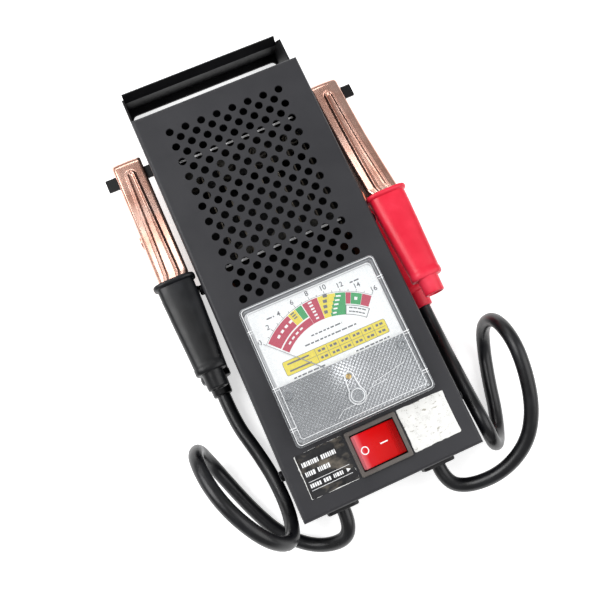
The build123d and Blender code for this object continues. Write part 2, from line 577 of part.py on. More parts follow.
def jaw_half(side, upper):
    """Pressed copper-plated steel half: toothed jaw, cheeks round the rivet and handle channel."""
    half_w = 8.25 if upper else 6.95
    plane = clamp_plane(side, upper)
    end_v = jaw_top(GRIP_START) + 1.4
    outline = [(JAW_TIP, 0.75), (JAW_TIP, TIP_V), (GRIP_START, FLANGE_V), (GRIP_END + 2, end_v),
               (GRIP_END + 2, end_v - 6), (GRIP_START, 14.0), (-16, 4), (-7, -5.5), (7, -5.5), (16, 3.0),
               (CHEEK_U, 3.6), (38, 3.0), (44, 1.9), (JAW_TIP - 5, 0.75)]
    inner = [(JAW_TIP - JAW_T, -8), (JAW_TIP - JAW_T, jaw_top(JAW_TIP - JAW_T) - JAW_T),
             (GRIP_START, FLANGE_V - JAW_T), (GRIP_END, end_v - JAW_T), (GRIP_END, -8)]
    with BuildPart() as half:
        with BuildSketch(plane):
            with BuildLine():
                Polyline(*outline, close=True)
            make_face()
        extrude(amount=half_w, both=True)
        slope = math.atan2(FLANGE_V - TIP_V, JAW_TIP - GRIP_START)
        with BuildSketch(plane):
            with BuildLine():
                Polyline(*inner, close=True)
            make_face()
        extrude(amount=half_w - JAW_T, both=True, mode=Mode.SUBTRACT)
        with BuildSketch(plane):
            Circle(PIVOT_R + 0.05)
        extrude(amount=half_w + 1, both=True, mode=Mode.SUBTRACT)
        tip_edges = half.edges().filter_by(Axis.Z).filter_by(
            lambda e: e.center().Y > PIVOT_Y + JAW_TIP - 0.1)
        fillet(tip_edges, radius=0.9)
        # stiffening bead pressed along the middle of the jaw
        bead_mid = (JAW_TIP - 8 + GRIP_START) / 2
        bead_l = (JAW_TIP - 8 - GRIP_START) / math.cos(slope)
        top_plane = Plane(origin=plane.from_local_coords((bead_mid, jaw_top(bead_mid) - 0.02, 0)),
                          x_dir=plane.x_dir * math.cos(slope) - plane.y_dir * math.sin(slope),
                          z_dir=plane.x_dir * math.sin(slope) + plane.y_dir * math.cos(slope))
        with BuildSketch(top_plane):
            SlotOverall(bead_l - 3, 5.6)
        extrude(amount=1.4, taper=28)
    return half.part


def grip_boot(side, upper):
    """Rubber boot over one handle: flange, tapering sleeve, rear rim and a smaller collar."""
    plane = clamp_plane(side, upper)
    sections = [(GRIP_START, 25.0, 9.0, FLANGE_V + 3.0), (GRIP_START - 3, 25.0, 9.0, FLANGE_V + 3.0),
                (GRIP_START - 3, 22.0, 10.2, FLANGE_V + 2.0), (GRIP_END + 4, 17.0, 11.0, HALF_OPEN - 0.6),
                (GRIP_END + 4, 18.2, 10.6, HALF_OPEN - 0.1), (GRIP_END, 17.8, 10.8, HALF_OPEN - 0.1),
                (GRIP_END, 12.4, 12.4, HALF_OPEN - 1.0), (COLLAR_END, 11.8, 13.4, HALF_OPEN - 1.2)]
    with BuildPart() as boot:
        for start, stop in zip(sections[0::2], sections[1::2]):
            for u, width, low, high in (start, stop):
                cut = Plane(origin=plane.from_local_coords((u, (low + high) / 2, 0)),
                            x_dir=(1, 0, 0), z_dir=(0, -1, 0))
                with BuildSketch(cut):
                    RectangleRounded(width, high - low, min(width, high - low) * 0.32)
            loft()
        # pocket for the metal handle
        with BuildSketch(plane):
            with BuildLine():
                Polyline((GRIP_START + 1, 12.0), (GRIP_START + 1, FLANGE_V + 0.4),
                         (GRIP_END + 1.6, jaw_top(GRIP_START) + 1.9), (GRIP_END + 1.6, 12.8), close=True)
            make_face()
        extrude(amount=8.45 if upper else 7.1, both=True, mode=Mode.SUBTRACT)
        collar_mid = (13.0 + HALF_OPEN - 1.2) / 2
        mouth = Plane(origin=plane.from_local_coords((COLLAR_END - 1, collar_mid, 0)), z_dir=(0, 1, 0))
        with BuildSketch(mouth):
            Circle(LEAD_D / 2 + 0.01)
        extrude(amount=COLLAR_END * -1 + GRIP_END + 3, mode=Mode.SUBTRACT)
    return boot.part


COLLAR_V = (13.0 + HALF_OPEN - 1.2) / 2
for colour, side in (("black", -1), ("red", 1)):
    save(jaw_half(side, True), "upper_jaw_" + colour)
    save(jaw_half(side, False), "lower_jaw_" + colour)
    save(grip_boot(side, True), "upper_grip_" + colour)
    save(grip_boot(side, False), "lower_grip_" + colour)

    across = Plane(origin=(side * CLAMP_X, PIVOT_Y, EAR_Z), x_dir=(0, 1, 0), z_dir=(1, 0, 0))
    with BuildPart() as rivet:
        with BuildSketch(across):
            Circle(PIVOT_R)
        extrude(amount=8.3, both=True)
        for end in (1, -1):
            with BuildSketch(across.offset(end * 8.3)):
                Circle(4.0)
            extrude(amount=end * 1.3)
        fillet(rivet.edges().filter_by(GeomType.CIRCLE).filter_by(
            lambda e: abs(abs(e.center().X) - CLAMP_X) > 9.5), radius=0.9)
    save(rivet.part, "rivet_" + colour)

    with BuildPart() as spring:
        COIL_R, WIRE_R = 4.6, 0.9
        for i in range(4):
            with BuildSketch(Plane(origin=across.from_local_coords((COIL_R, 0, (i - 1.5) * 2.0)),
                                   z_dir=(0, 0, 1))):
                Circle(WIRE_R)
            revolve(axis=Axis((side * CLAMP_X, PIVOT_Y, EAR_Z), (1, 0, 0)))
        with BuildSketch(across):
            with Locations((0, 0)):
                Circle(COIL_R + 0.3)
                Circle(COIL_R - 0.3, mode=Mode.SUBTRACT)
        extrude(amount=3.0, both=True)
        with BuildSketch(Plane(origin=across.from_local_coords((0, -COIL_R, -3.0)), z_dir=(0, -1, 0.5))):
            Circle(WIRE_R)
        extrude(amount=15)
        with BuildSketch(Plane(origin=across.from_local_coords((0, COIL_R, 3.0)), z_dir=(0, -1, -0.28))):
            Circle(WIRE_R)
        extrude(amount=15)
    save(spring.part, "spring_" + colour)

# ---------------------------------------------------------------- leads
# Route points are (x, distance below the panel's top edge, height above the table), grommet first.
REST_Z = 4.3
LEAD_EXIT_Z = EAR_Z - COLLAR_V
RED_ROUTE = [
    (30, 255, 23), (30, 265.5, 23), (41, 272.5, 25), (60, 272.5, 33), (76.5, 263.5, 42),
    (85.8, 248.5, 49), (90.2, 229, 55), (92, 208.5, 57), (92.6, 192, 43), (91.8, 191, 19),
    (89.8, 205, REST_Z), (83.8, 224, REST_Z), (79.5, 241, REST_Z), (72, 255.5, 11), (63.5, 258.5, 29),
    (60.2, 245, 42), (60.8, 227, 36), (63.8, 205, 22), (67, 184, LEAD_EXIT_Z),
    (67, 166, LEAD_EXIT_Z),
]
BLACK_ROUTE = [
    (-30, 255, 23), (-30, 264.5, 23), (-37, 271.5, 16), (-53, 268, 5.5), (-68, 254, REST_Z),
    (-77, 236, REST_Z), (-84, 217, REST_Z), (-89.5, 200, 8), (-92, 190.5, 28), (-93.4, 196.5, 52),
    (-91, 216, 61), (-84, 235.5, 62), (-73, 253.5, 56), (-62.5, 259.5, 37), (-58.4, 244.5, 21),
    (-58.8, 223.5, 12), (-62.3, 203.5, 9), (-67, 184, LEAD_EXIT_Z), (-67, 166, LEAD_EXIT_Z),
]


def lead(route, name):
    """A tube along straight runs joined by tangent arcs, from its grommet to its clamp."""
    points = [Vector(x, Y_TOP - down, z) for x, down, z in route]
    points[0] = Vector(points[0].X, Y_BOTTOM - GROMMET_PROUD, points[0].Z)
    points[-1] = Vector(points[-1].X, PIVOT_Y + COLLAR_END, points[-1].Z)
    runs = [b - a for a, b in zip(points, points[1:])]
    radii = []
    for one, two in zip(runs, runs[1:]):
        half_turn = math.radians(one.get_angle(two) / 2)
        radii.append(0.45 * min(one.length, two.length) / math.tan(half_turn))
    print(name, "bend radii", [round(r, 1) for r in radii])
    with BuildPart() as tube:
        with BuildLine() as path:
            FilletPolyline(*points, radius=radii)
        with BuildSketch(Plane(origin=points[0], z_dir=runs[0])):
            Circle(LEAD_D / 2)
        sweep()
    length = sum(edge.length for edge in path.edges())
    volume = math.pi * LEAD_D ** 2 / 4 * length
    print(name, "length", round(length, 1), "volume ratio", round(tube.part.volume / volume, 4))
    save(tube.part, name)


lead(RED_ROUTE, "lead_red")
lead(BLACK_ROUTE, "lead_black")
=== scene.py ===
import bmesh
import bpy
import json
import math
import random
from mathutils import Matrix, Vector


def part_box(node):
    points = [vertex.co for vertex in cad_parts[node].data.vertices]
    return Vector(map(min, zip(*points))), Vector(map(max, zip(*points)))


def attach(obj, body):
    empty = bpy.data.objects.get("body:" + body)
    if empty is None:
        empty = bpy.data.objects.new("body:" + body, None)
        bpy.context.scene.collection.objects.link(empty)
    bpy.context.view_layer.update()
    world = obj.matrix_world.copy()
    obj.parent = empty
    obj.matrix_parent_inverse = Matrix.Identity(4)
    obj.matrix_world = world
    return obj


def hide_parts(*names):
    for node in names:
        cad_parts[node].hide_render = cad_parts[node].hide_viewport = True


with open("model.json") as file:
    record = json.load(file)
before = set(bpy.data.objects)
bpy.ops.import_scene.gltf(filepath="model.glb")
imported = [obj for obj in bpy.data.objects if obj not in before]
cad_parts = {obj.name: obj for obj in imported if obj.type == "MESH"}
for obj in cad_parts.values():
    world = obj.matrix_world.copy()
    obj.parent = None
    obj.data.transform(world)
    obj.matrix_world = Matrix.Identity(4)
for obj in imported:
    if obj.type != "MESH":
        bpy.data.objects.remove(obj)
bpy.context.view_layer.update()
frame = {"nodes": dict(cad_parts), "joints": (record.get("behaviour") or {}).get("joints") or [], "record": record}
NODES = frame["nodes"]
MM = 0.001
SIDES = {"black": -1, "red": 1}

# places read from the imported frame
TOP_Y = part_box("front_cover")[1].y
METER_LOW, METER_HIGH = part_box("meter_cover")
METER_MID = (METER_LOW + METER_HIGH) / 2
METER_HALF = (METER_HIGH.x - METER_LOW.x) / 2
COVER_TOP = METER_LOW.z + 0.0095  # top of the clear cover's rim
PLATE_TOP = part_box("meter_mask")[1].z - 0.0001  # level of the plate over the mechanism
JOINTS = {joint["name"]: Vector(joint["pos_m"]) for joint in frame["joints"]}
PIVOT = JOINTS["pointer_swing"]
ADJUSTER = JOINTS["zero_turn"]
ROCKER_PIN = JOINTS["rocker_tilt"]
BOSS_REACH, BOSS_Y = 0.0346, PIVOT.y + 0.0042  # the two bosses beside the meter's pivot


def new_object(name, data):
    """An object of the scene that shows the data."""
    made = bpy.data.objects.new(name, data)
    bpy.context.scene.collection.objects.link(made)
    return made


# ---- camera
def make_camera():
    """48 mm lens, looking down at the panel from its lower left."""
    data = bpy.data.cameras.new("camera")
    data.lens = 48
    data.sensor_width = 36
    camera = new_object("camera", data)
    # the picture's directions and the camera's place, fitted to the photo's outlines
    right = Vector((0.9128, -0.4078, 0.0217))
    up = Vector((0.3936, 0.8927, 0.2196))
    back = right.cross(up)
    turn = Matrix((right, up, back)).transposed()
    camera.matrix_world = Matrix.Translation((-0.0551, -0.11575, 0.4896)) @ turn.to_4x4()
    bpy.context.scene.camera = camera


make_camera()


# ---- shader helper
def rgb(red, green, blue):
    """A colour given as 0-255 display values, as the shader wants it."""
    return tuple((v / 255) ** 2.2 for v in (red, green, blue)) + (1.0,)


class Shader:
    """A Principled material and the few node patterns used here, in object space, in metres."""

    def __init__(self, name, color, roughness=0.5, metallic=0.0, **sockets):
        self.material = bpy.data.materials.new(name)
        self.material.use_nodes = True
        self.tree = self.material.node_tree
        self.bsdf = self.tree.nodes["Principled BSDF"]
        self.output = self.tree.nodes["Material Output"]
        self.bsdf.inputs["Base Color"].default_value = color
        self.bsdf.inputs["Roughness"].default_value = roughness
        self.bsdf.inputs["Metallic"].default_value = metallic
        for socket, value in sockets.items():
            self.bsdf.inputs[socket.replace("_", " ")].default_value = value
        self.place = self.add("ShaderNodeTexCoord").outputs["Object"]

    def add(self, kind, **values):
        node = self.tree.nodes.new(kind)
        for key, value in values.items():
            setattr(node, key, value)
        return node

    def link(self, source, target):
        self.tree.links.new(source, target)

    def stretched(self, stretch):
        mapping = self.add("ShaderNodeMapping")
        mapping.inputs["Scale"].default_value = stretch
        self.link(self.place, mapping.inputs["Vector"])
        return mapping.outputs["Vector"]

    def noise(self, scale, detail=3.0, stretch=(1, 1, 1)):
        node = self.add("ShaderNodeTexNoise")
        node.inputs["Scale"].default_value = scale
        node.inputs["Detail"].default_value = detail
        self.link(self.stretched(stretch), node.inputs["Vector"])
        return node.outputs["Fac"]

    def ramp(self, source, *stops):
        """Colour ramp from (position, colour or grey value) stops."""
        node = self.add("ShaderNodeValToRGB")
        elements = node.color_ramp.elements
        while len(elements) < len(stops):
            elements.new(0.5)
        for element, (position, value) in zip(elements, stops):
            element.position = position
            element.color = value if isinstance(value, tuple) else (value, value, value, 1)
        self.link(source, node.inputs["Fac"])
        return node.outputs["Color"]

    def color(self, source, *stops):
        self.link(self.ramp(source, *stops), self.bsdf.inputs["Base Color"])

    def mixed_color(self, share, first, second):
        """Base colour from first, a colour or a node's output, to the colour second."""
        mix = self.add("ShaderNodeMixRGB")
        if isinstance(first, tuple):
            mix.inputs["Color1"].default_value = first
        else:
            self.link(first, mix.inputs["Color1"])
        mix.inputs["Color2"].default_value = second
        self.link(share, mix.inputs["Fac"])
        self.link(mix.outputs["Color"], self.bsdf.inputs["Base Color"])

    def rough(self, source, low, high):
        self.link(self.ramp(source, (0.3, low), (0.7, high)), self.bsdf.inputs["Roughness"])

    def bump(self, source, distance, strength=1.0):
        node = self.add("ShaderNodeBump")
        node.inputs["Strength"].default_value = strength
        node.inputs["Distance"].default_value = distance
        previous = self.bsdf.inputs["Normal"].links
        if previous:
            self.link(previous[0].from_socket, node.inputs["Normal"])
        self.link(source, node.inputs["Height"])
        self.link(node.outputs["Normal"], self.bsdf.inputs["Normal"])


# ---- materials
def paint_material(name, dark, light):
    """Powder coat between two greys: fine orange peel and a slightly uneven sheen."""
    shader = Shader(name, light, 0.45, Specular_IOR_Level=0.3)
    cloud = shader.noise(35, 4)
    shader.color(cloud, (0.3, dark), (0.7, light))
    shader.rough(shader.noise(90, 2), 0.38, 0.5)
    shader.bump(shader.noise(2600, 2), 0.00004, 0.5)
    return shader.material


def copper_material():
    """Bright copper plating over pressed steel: tarnish clouds and faint drawn lines."""
    shader = Shader("copper_plate", rgb(226, 160, 136), 0.24, 1.0)
    cloud = shader.noise(60, 5)
    shader.color(cloud, (0.25, rgb(206, 148, 128)), (0.5, rgb(230, 180, 162)),
                 (0.75, rgb(240, 204, 190)))
    shader.rough(shader.noise(120, 4, (1, 0.3, 1)), 0.18, 0.27)
    shader.bump(shader.noise(500, 2, (1, 0.2, 1)), 0.00002, 0.15)
    return shader.material


def rubber_material(name, dark, light, low, high, grain=1500):
    """Soft moulded rubber: slight colour clouds, uneven gloss and a fine grain."""
    shader = Shader(name, light, 0.4, Specular_IOR_Level=0.5)
    shader.color(shader.noise(70, 4), (0.3, dark), (0.7, light))
    shader.rough(shader.noise(140, 3), low, high)
    shader.bump(shader.noise(grain, 3), 0.00005, 0.5)
    return shader.material


def grip_material(name, dark, light, edge):
    """Vinyl boot: colour clouds, soft gloss, a fine grain and shallow waves."""
    shader = Shader(name, light, 0.36, Specular_IOR_Level=0.36, Coat_Weight=0.06, Coat_Roughness=0.25)
    shader.color(shader.noise(55, 4), (0.3, dark), (0.6, light), (0.85, edge))
    shader.rough(shader.noise(110, 3), 0.3, 0.46)
    shader.bump(shader.noise(1200, 3), 0.00005, 0.5)
    shader.bump(shader.noise(160, 2), 0.0002, 0.35)
    return shader.material


def metal_material(name, dark, light, roughness=0.3, grain=(1, 0.1, 1)):
    """Plated or bare metal with a drawn grain."""
    shader = Shader(name, light, roughness, 1.0)
    shader.color(shader.noise(80, 4), (0.3, dark), (0.7, light))
    shader.rough(shader.noise(300, 3, grain), roughness * 0.8, roughness * 1.35)
    shader.bump(shader.noise(1500, 2, grain), 0.00004, 0.4)
    return shader.material


def plastic_material(name, dark, light, roughness=0.4, **sockets):
    """Moulded plastic with a faint grain."""
    shader = Shader(name, light, roughness, **sockets)
    shader.color(shader.noise(120, 3), (0.3, dark), (0.7, light))
    shader.rough(shader.noise(250, 3), roughness * 0.85, roughness * 1.2)
    shader.bump(shader.noise(2200, 2), 0.00003, 0.4)
    return shader.material


def clear_material(name, tint, strength):
    """Thin clear moulding: light passes, edges and grazing faces turn pale and glossy."""
    shader = Shader(name, tint, 0.06, Specular_IOR_Level=0.6)
    facing = shader.add("ShaderNodeLayerWeight")
    facing.inputs["Blend"].default_value = 0.35
    see = shader.ramp(facing.outputs["Facing"], (0.0, 0.05 * strength), (0.45, 0.12 * strength),
                      (0.9, 0.75))
    shader.rough(shader.noise(200, 3), 0.04, 0.12)
    shader.bump(shader.noise(60, 2), 0.00008, 0.3)
    window = shader.add("ShaderNodeBsdfTransparent")
    mix = shader.add("ShaderNodeMixShader")
    shader.link(see, mix.inputs["Fac"])
    shader.link(window.outputs["BSDF"], mix.inputs[1])
    shader.link(shader.bsdf.outputs["BSDF"], mix.inputs[2])
    shader.link(mix.outputs["Shader"], shader.output.inputs["Surface"])
    return shader.material


def ink_material(name, color):
    """Printed ink on card: slightly uneven coverage."""
    shader = Shader(name, color, 0.5)
    pale = tuple(min(1.0, v * 1.12 + 0.01) for v in color[:3]) + (1.0,)
    shader.color(shader.noise(900, 3), (0.35, color), (0.75, pale))
    shader.bump(shader.noise(5000, 2), 0.00001, 0.4)
    return shader.material


def sheared_edge_material():
    """Dark sheet: its body painted dark as shade, its top edge painted white as a glint."""
    edge_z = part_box("coil_bar_upper")[1].z
    shader = Shader("zinc_bar", rgb(60, 60, 62), 0.4, 0.6)
    height = shader.add("ShaderNodeSeparateXYZ")
    shader.link(shader.place, height.inputs["Vector"])
    level = shader.add("ShaderNodeMath", operation="GREATER_THAN")
    # the top 0.3 mm is painted near white: a painted glint along the edge
    bare = 0.0003
    level.inputs[1].default_value = edge_z - bare
    shader.link(height.outputs["Z"], level.inputs[0])
    # the body's dark greys are painted shade of the inside of the case
    dark = shader.ramp(shader.noise(90, 4), (0.3, rgb(38, 38, 40)), (0.7, rgb(64, 63, 62)))
    shader.mixed_color(level.outputs["Value"], dark, rgb(250, 250, 250))
    shader.bump(shader.noise(1200, 2), 0.00004, 0.4)
    return shader.material


def rocker_material():
    """Deep red plastic with a painted highlight that turns its raised end pale and painted shade that darkens its
    pressed end.
    """
    shader = Shader("rocker_red", rgb(200, 4, 12), 0.3, Specular_IOR_Level=0.12)
    axes = shader.add("ShaderNodeSeparateXYZ")
    shader.link(shader.place, axes.inputs["Vector"])
    share = shader.add("ShaderNodeMapRange")
    share.inputs["From Min"].default_value = ROCKER_PIN.x - 0.0122
    share.inputs["From Max"].default_value = ROCKER_PIN.x + 0.0126
    shader.link(axes.outputs["X"], share.inputs["Value"])
    # pale pink at the raised end is a painted highlight, the dark red at the pressed end is painted shade
    shader.color(share.outputs["Result"], (0.0, rgb(226, 120, 128)), (0.16, rgb(212, 24, 34)),
                 (0.4, rgb(208, 3, 10)), (0.8, rgb(192, 2, 8)), (1.0, rgb(120, 1, 6)))
    shader.rough(shader.noise(90, 3), 0.24, 0.36)
    return shader.material


def foil_material():
    """Silver foil behind the clear cover, slightly blotchy."""
    shader = Shader("textured_foil", rgb(166, 169, 173), 0.2, 1.0)
    shader.color(shader.noise(26, 2), (0.36, rgb(168, 171, 174)), (0.64, rgb(194, 196, 199)))
    shader.rough(shader.noise(400, 2), 0.22, 0.27)
    shader.bump(shader.noise(1800, 3), 0.00001, 0.2)
    return shader.material


def worn_black_material():
    """Black label film, rubbed pale where its edge and creases have worn."""
    shader = Shader("label_dark", rgb(30, 30, 32), 0.3, Specular_IOR_Level=0.6)
    wear = shader.ramp(shader.noise(110, 8, (1, 1.8, 1)), (0.5, 0.0), (0.74, 1.0))
    shader.mixed_color(wear, rgb(24, 24, 27), rgb(112, 104, 92))
    shader.rough(shader.noise(150, 3), 0.22, 0.5)
    shader.bump(shader.noise(260, 4), 0.00012, 0.5)
    return shader.material


def worn_foil_material():
    """Silver label: crumpled foil with dark specks and rubbed patches."""
    shader = Shader("label_foil", rgb(240, 240, 237), 0.28, 0.25)
    specks = shader.ramp(shader.noise(340, 8, (1, 2.2, 1)), (0.3, 0.0), (0.4, 1.0))
    shader.mixed_color(specks, rgb(176, 173, 162), rgb(246, 246, 243))
    shader.rough(shader.noise(200, 4), 0.18, 0.5)
    shader.bump(shader.noise(130, 5), 0.0003, 0.7)
    return shader.material


# maker, slot, dark colour, light colour, and what else the maker takes
PLAIN_MATERIALS = (
    (paint_material, "case_paint", (52, 52, 55), (57, 57, 60)),
    (metal_material, "black_screw", (20, 20, 22), (44, 44, 46), 0.35),
    (plastic_material, "meter_plastic", (205, 206, 208), (220, 221, 223)),
    (metal_material, "bright_steel", (178, 178, 180), (222, 222, 224), 0.25),
    (plastic_material, "pointer_black", (14, 14, 16), (26, 26, 28)),
    (plastic_material, "switch_plastic", (88, 83, 80), (102, 97, 93), 0.36),
    (metal_material, "brass_part", (176, 140, 72), (214, 180, 108), 0.3),
    # copper darkened to brown-black on the strap: painted shade of the inside of the case
    (metal_material, "copper_strap", (70, 44, 32), (98, 64, 48), 0.5),
    (plastic_material, "ceramic", (62, 59, 54), (78, 74, 67), 0.7),
    (metal_material, "ribbon_alloy", (96, 90, 80), (158, 150, 138), 0.35),
    (rubber_material, "grommet_rubber", (18, 18, 19), (34, 34, 36), 0.4, 0.6),
    (rubber_material, "lead_rubber", (14, 14, 16), (25, 26, 30), 0.26, 0.4),
    (metal_material, "spring_wire", (120, 120, 122), (200, 200, 202), 0.3),
)
MATERIALS = {name: maker(name, rgb(*dark), rgb(*light), *more)
             for maker, name, dark, light, *more in PLAIN_MATERIALS}
MATERIALS.update({
    "copper_plate": copper_material(),
    "dial_card": ink_material("dial_card", rgb(240, 243, 244)),
    "textured_foil": foil_material(),
    "rocker_red": rocker_material(),
    "zinc_bar": sheared_edge_material(),
    "label_dark": worn_black_material(),
    "label_foil": worn_foil_material(),
    "grip_black": grip_material("grip_black", rgb(14, 14, 16), rgb(24, 25, 28), rgb(30, 32, 37)),
    "grip_red": grip_material("grip_red", rgb(218, 30, 54), rgb(232, 42, 66), rgb(242, 66, 88)),
    "clear_plastic": clear_material("clear_plastic", rgb(236, 240, 244), 1.0),
    "adjuster_plastic": clear_material("adjuster_plastic", rgb(236, 240, 244), 2.2),
})
INK_COLORS = {"red": (178, 34, 70), "yellow": (226, 208, 58), "green": (28, 150, 82),
              "grey": (96, 98, 104), "white": (240, 241, 243)}
INKS = {name: ink_material("ink_" + name, rgb(*color)) for name, color in INK_COLORS.items()}
INKS["rim_grey"] = plastic_material("rim_grey", rgb(120, 124, 128), rgb(176, 180, 184), 0.15)
# near-white plastic for the strokes that paint highlights on the clear cover's rim, ribs, lugs and flow lines
INKS["painted_highlight_line"] = plastic_material("painted_highlight_line", rgb(236, 238, 240), rgb(248, 249, 250), 0.15)


def finish_cad_nodes():
    """Every node that stays takes the material of its slot, or a darker copy of it that paints shade on it."""
    # the case's powder coat made near black on the base plate and side plates: painted shade
    folded = paint_material("painted_shade_sheet", rgb(16, 16, 18), rgb(20, 20, 22))
    # the steel made dark grey on the bolts inside the case: painted shade
    bolts = metal_material("painted_shade_bolts", rgb(50, 50, 50), rgb(84, 82, 78), 0.5)
    painted_shades = {"base_plate": folded, "side_plate_left": folded, "side_plate_right": folded,
              "coil_bolts": bolts}
    for subpart in frame["record"]["subparts"]:
        node = subpart["node"]
        mesh = NODES[node].data
        mesh.materials.clear()
        mesh.materials.append(painted_shades.get(node, MATERIALS[subpart["material_slot"]]))


finish_cad_nodes()


# ---- mesh helpers
def add_piece(name, mesh, material, body):
    """Puts a mesh in the scene as a piece that rides on the body."""
    piece = new_object(name, mesh)
    mesh.materials.append(material)
    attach(piece, body)
    return piece


def smooth(mesh, angle):
    """Smooth shading, except over edges sharper than the angle in degrees."""
    for polygon in mesh.polygons:
        polygon.use_smooth = True
    mesh.set_sharp_from_angle(angle=math.radians(angle))


def new_mesh(name, made):
    """The mesh of the faces made, with its normals outward."""
    bmesh.ops.recalc_face_normals(made, faces=made.faces)
    mesh = bpy.data.meshes.new(name)
    made.to_mesh(mesh)
    made.free()
    return mesh


def mesh_of_rings(name, rings, closed_ring=True, caps=True):
    """Skin over rings of equally many points."""
    made = bmesh.new()
    rows = [[made.verts.new(point) for point in ring] for ring in rings]
    count = len(rings[0])
    for row, following in zip(rows, rows[1:]):
        for i in range(count if closed_ring else count - 1):
            j = (i + 1) % count
            made.faces.new((row[i], row[j], following[j], following[i]))
    if caps:
        made.faces.new(rows[0][::-1])
        made.faces.new(rows[-1])
    return new_mesh(name, made)


def add_prism(made, low, high):
    """Closed prism between two outlines of equally many points."""
    bottom = [made.verts.new(point) for point in low]
    top = [made.verts.new(point) for point in high]
    made.faces.new(bottom[::-1])
    made.faces.new(top)
    for i in range(len(bottom)):
        j = (i + 1) % len(bottom)
        made.faces.new((bottom[i], bottom[j], top[j], top[i]))


def prisms(name, outlines, z, thickness, material, body="case"):
    """Flat printed or stuck-on shapes: each outline becomes a thin closed prism."""
    made = bmesh.new()
    for outline in outlines:
        add_prism(made, [(x, y, z) for x, y in outline], [(x, y, z + thickness) for x, y in outline])
    return add_piece(name, new_mesh(name, made), material, body)


def arc(x, y, radius, degrees):
    """Points round a middle, one at each of the angles."""
    turns = [math.radians(a) for a in degrees]
    return [(x + radius * math.cos(t), y + radius * math.sin(t)) for t in turns]


def rectangle(mid_x, mid_y, width, height):
    return [(mid_x + a * width / 2, mid_y + b * height / 2)
            for a, b in ((-1, -1), (1, -1), (1, 1), (-1, 1))]


def rounded(mid_x, mid_y, width, height, radius, steps=6):
    """Rectangle outline with round corners."""
    outline = []
    for quarter, (a, b) in enumerate(((1, 1), (-1, 1), (-1, -1), (1, -1))):
        for step in range(steps + 1):
            turn = math.radians(90 * (quarter + step / steps))
            outline.append((mid_x + a * (width / 2 - radius) + radius * math.cos(turn),
                            mid_y + b * (height / 2 - radius) + radius * math.sin(turn)))
    return outline


# ---- leads
LEAD_D = 0.0082
REST_Z = 0.0043
LEAD_EXIT_Z = 0.0076
RED_ROUTE = [
    (0.030, 0.255, 0.023), (0.030, 0.2655, 0.023), (0.041, 0.2725, 0.025), (0.060, 0.2725, 0.033),
    (0.0765, 0.2635, 0.042), (0.0858, 0.2485, 0.049), (0.0902, 0.229, 0.055), (0.092, 0.2085, 0.057),
    (0.0926, 0.192, 0.043), (0.0918, 0.191, 0.019), (0.0898, 0.205, REST_Z), (0.0838, 0.224, REST_Z),
    (0.0795, 0.241, REST_Z), (0.072, 0.2555, 0.011), (0.0635, 0.2585, 0.029), (0.0602, 0.245, 0.042),
    (0.0608, 0.227, 0.036), (0.0638, 0.205, 0.022), (0.067, 0.184, LEAD_EXIT_Z),
    (0.067, 0.166, LEAD_EXIT_Z),
]
BLACK_ROUTE = [
    (-0.030, 0.255, 0.023), (-0.030, 0.2645, 0.023), (-0.037, 0.2715, 0.016), (-0.053, 0.268, 0.0055),
    (-0.068, 0.254, REST_Z), (-0.077, 0.236, REST_Z), (-0.084, 0.217, REST_Z), (-0.0895, 0.200, 0.008),
    (-0.092, 0.1905, 0.028), (-0.0934, 0.1965, 0.052), (-0.091, 0.216, 0.061), (-0.084, 0.2355, 0.062),
    (-0.073, 0.2535, 0.056), (-0.0625, 0.2595, 0.037), (-0.0584, 0.2445, 0.021),
    (-0.0588, 0.2235, 0.012), (-0.0623, 0.2035, 0.009), (-0.067, 0.184, LEAD_EXIT_Z),
    (-0.067, 0.166, LEAD_EXIT_Z),
]


def make_lead(colour, route):
    """One lead as a smooth curve; route points are (x, distance below the panel's top edge, height)."""
    curve = bpy.data.curves.new("cable_" + colour, "CURVE")
    curve.dimensions = "3D"
    spline = curve.splines.new("NURBS")
    spline.points.add(len(route) - 1)
    for point, (x, down, z) in zip(spline.points, route):
        point.co = (x, TOP_Y - down, z, 1)
    spline.order_u = 3
    spline.use_endpoint_u = True
    spline.resolution_u = 10
    curve.bevel_depth = LEAD_D / 2
    curve.bevel_resolution = 6
    curve.use_fill_caps = True
    curve.materials.append(MATERIALS["lead_rubber"])
    lead = new_object("cable_" + colour, curve)
    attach(lead, "case")
    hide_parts("lead_" + colour)
    return lead


leads = {"red": make_lead("red", RED_ROUTE), "black": make_lead("black", BLACK_ROUTE)}


# ---- clamps
# u runs from the rivet towards the jaw tip, v away from the clamp's mid plane, in metres.
JAW_TIP, GRIP_START, GRIP_END = 0.052, -0.034, -0.091
HALF_OPEN = 0.026  # from the mid plane to the boot's outside at its rear
TIP_V, FLANGE_V = 0.003, 0.0218
HALF_WIDTHS = {"upper": 0.00825, "lower": 0.00695}
JAW_WALL = 0.0012 * 0.8  # a little less than the CAD sheet
JAW_BEND = 0.0021  # radius of the fold along each side
JAW_DIP = 0.0028  # the top sags by this much, halfway between tip and boot
JAW_INWARD = 0.00085  # the pressed jaw stands this much nearer to the case than its rivet's middle
JAW_CROWN = 0.0003  # its top is arched across by this much
JAW_EXTRA = 0.0009  # and is this much wider each side than the handle in the boot
BOOT_BLEND = 0.004  # over this length it narrows to the handle
TIP_DROP, TIP_DROP_RUN = 0.0011, 0.003  # the tip turns down by this much over this length
JAW_ROWS, JAW_COLUMNS = 200, 60
# lower edge of a jaw's side wall, as (u, v)
SIDE_EDGE = [(0.052, 0.0008), (0.047, 0.0008), (0.044, 0.0019), (0.038, 0.003), (0.030, 0.0036),
             (0.016, 0.003), (0.009, -0.0045), (0.006, -0.0055), (-0.006, -0.0055), (-0.009, -0.0045),
             (-0.016, 0.004), (-0.034, 0.014), (-0.089, 0.0172)]
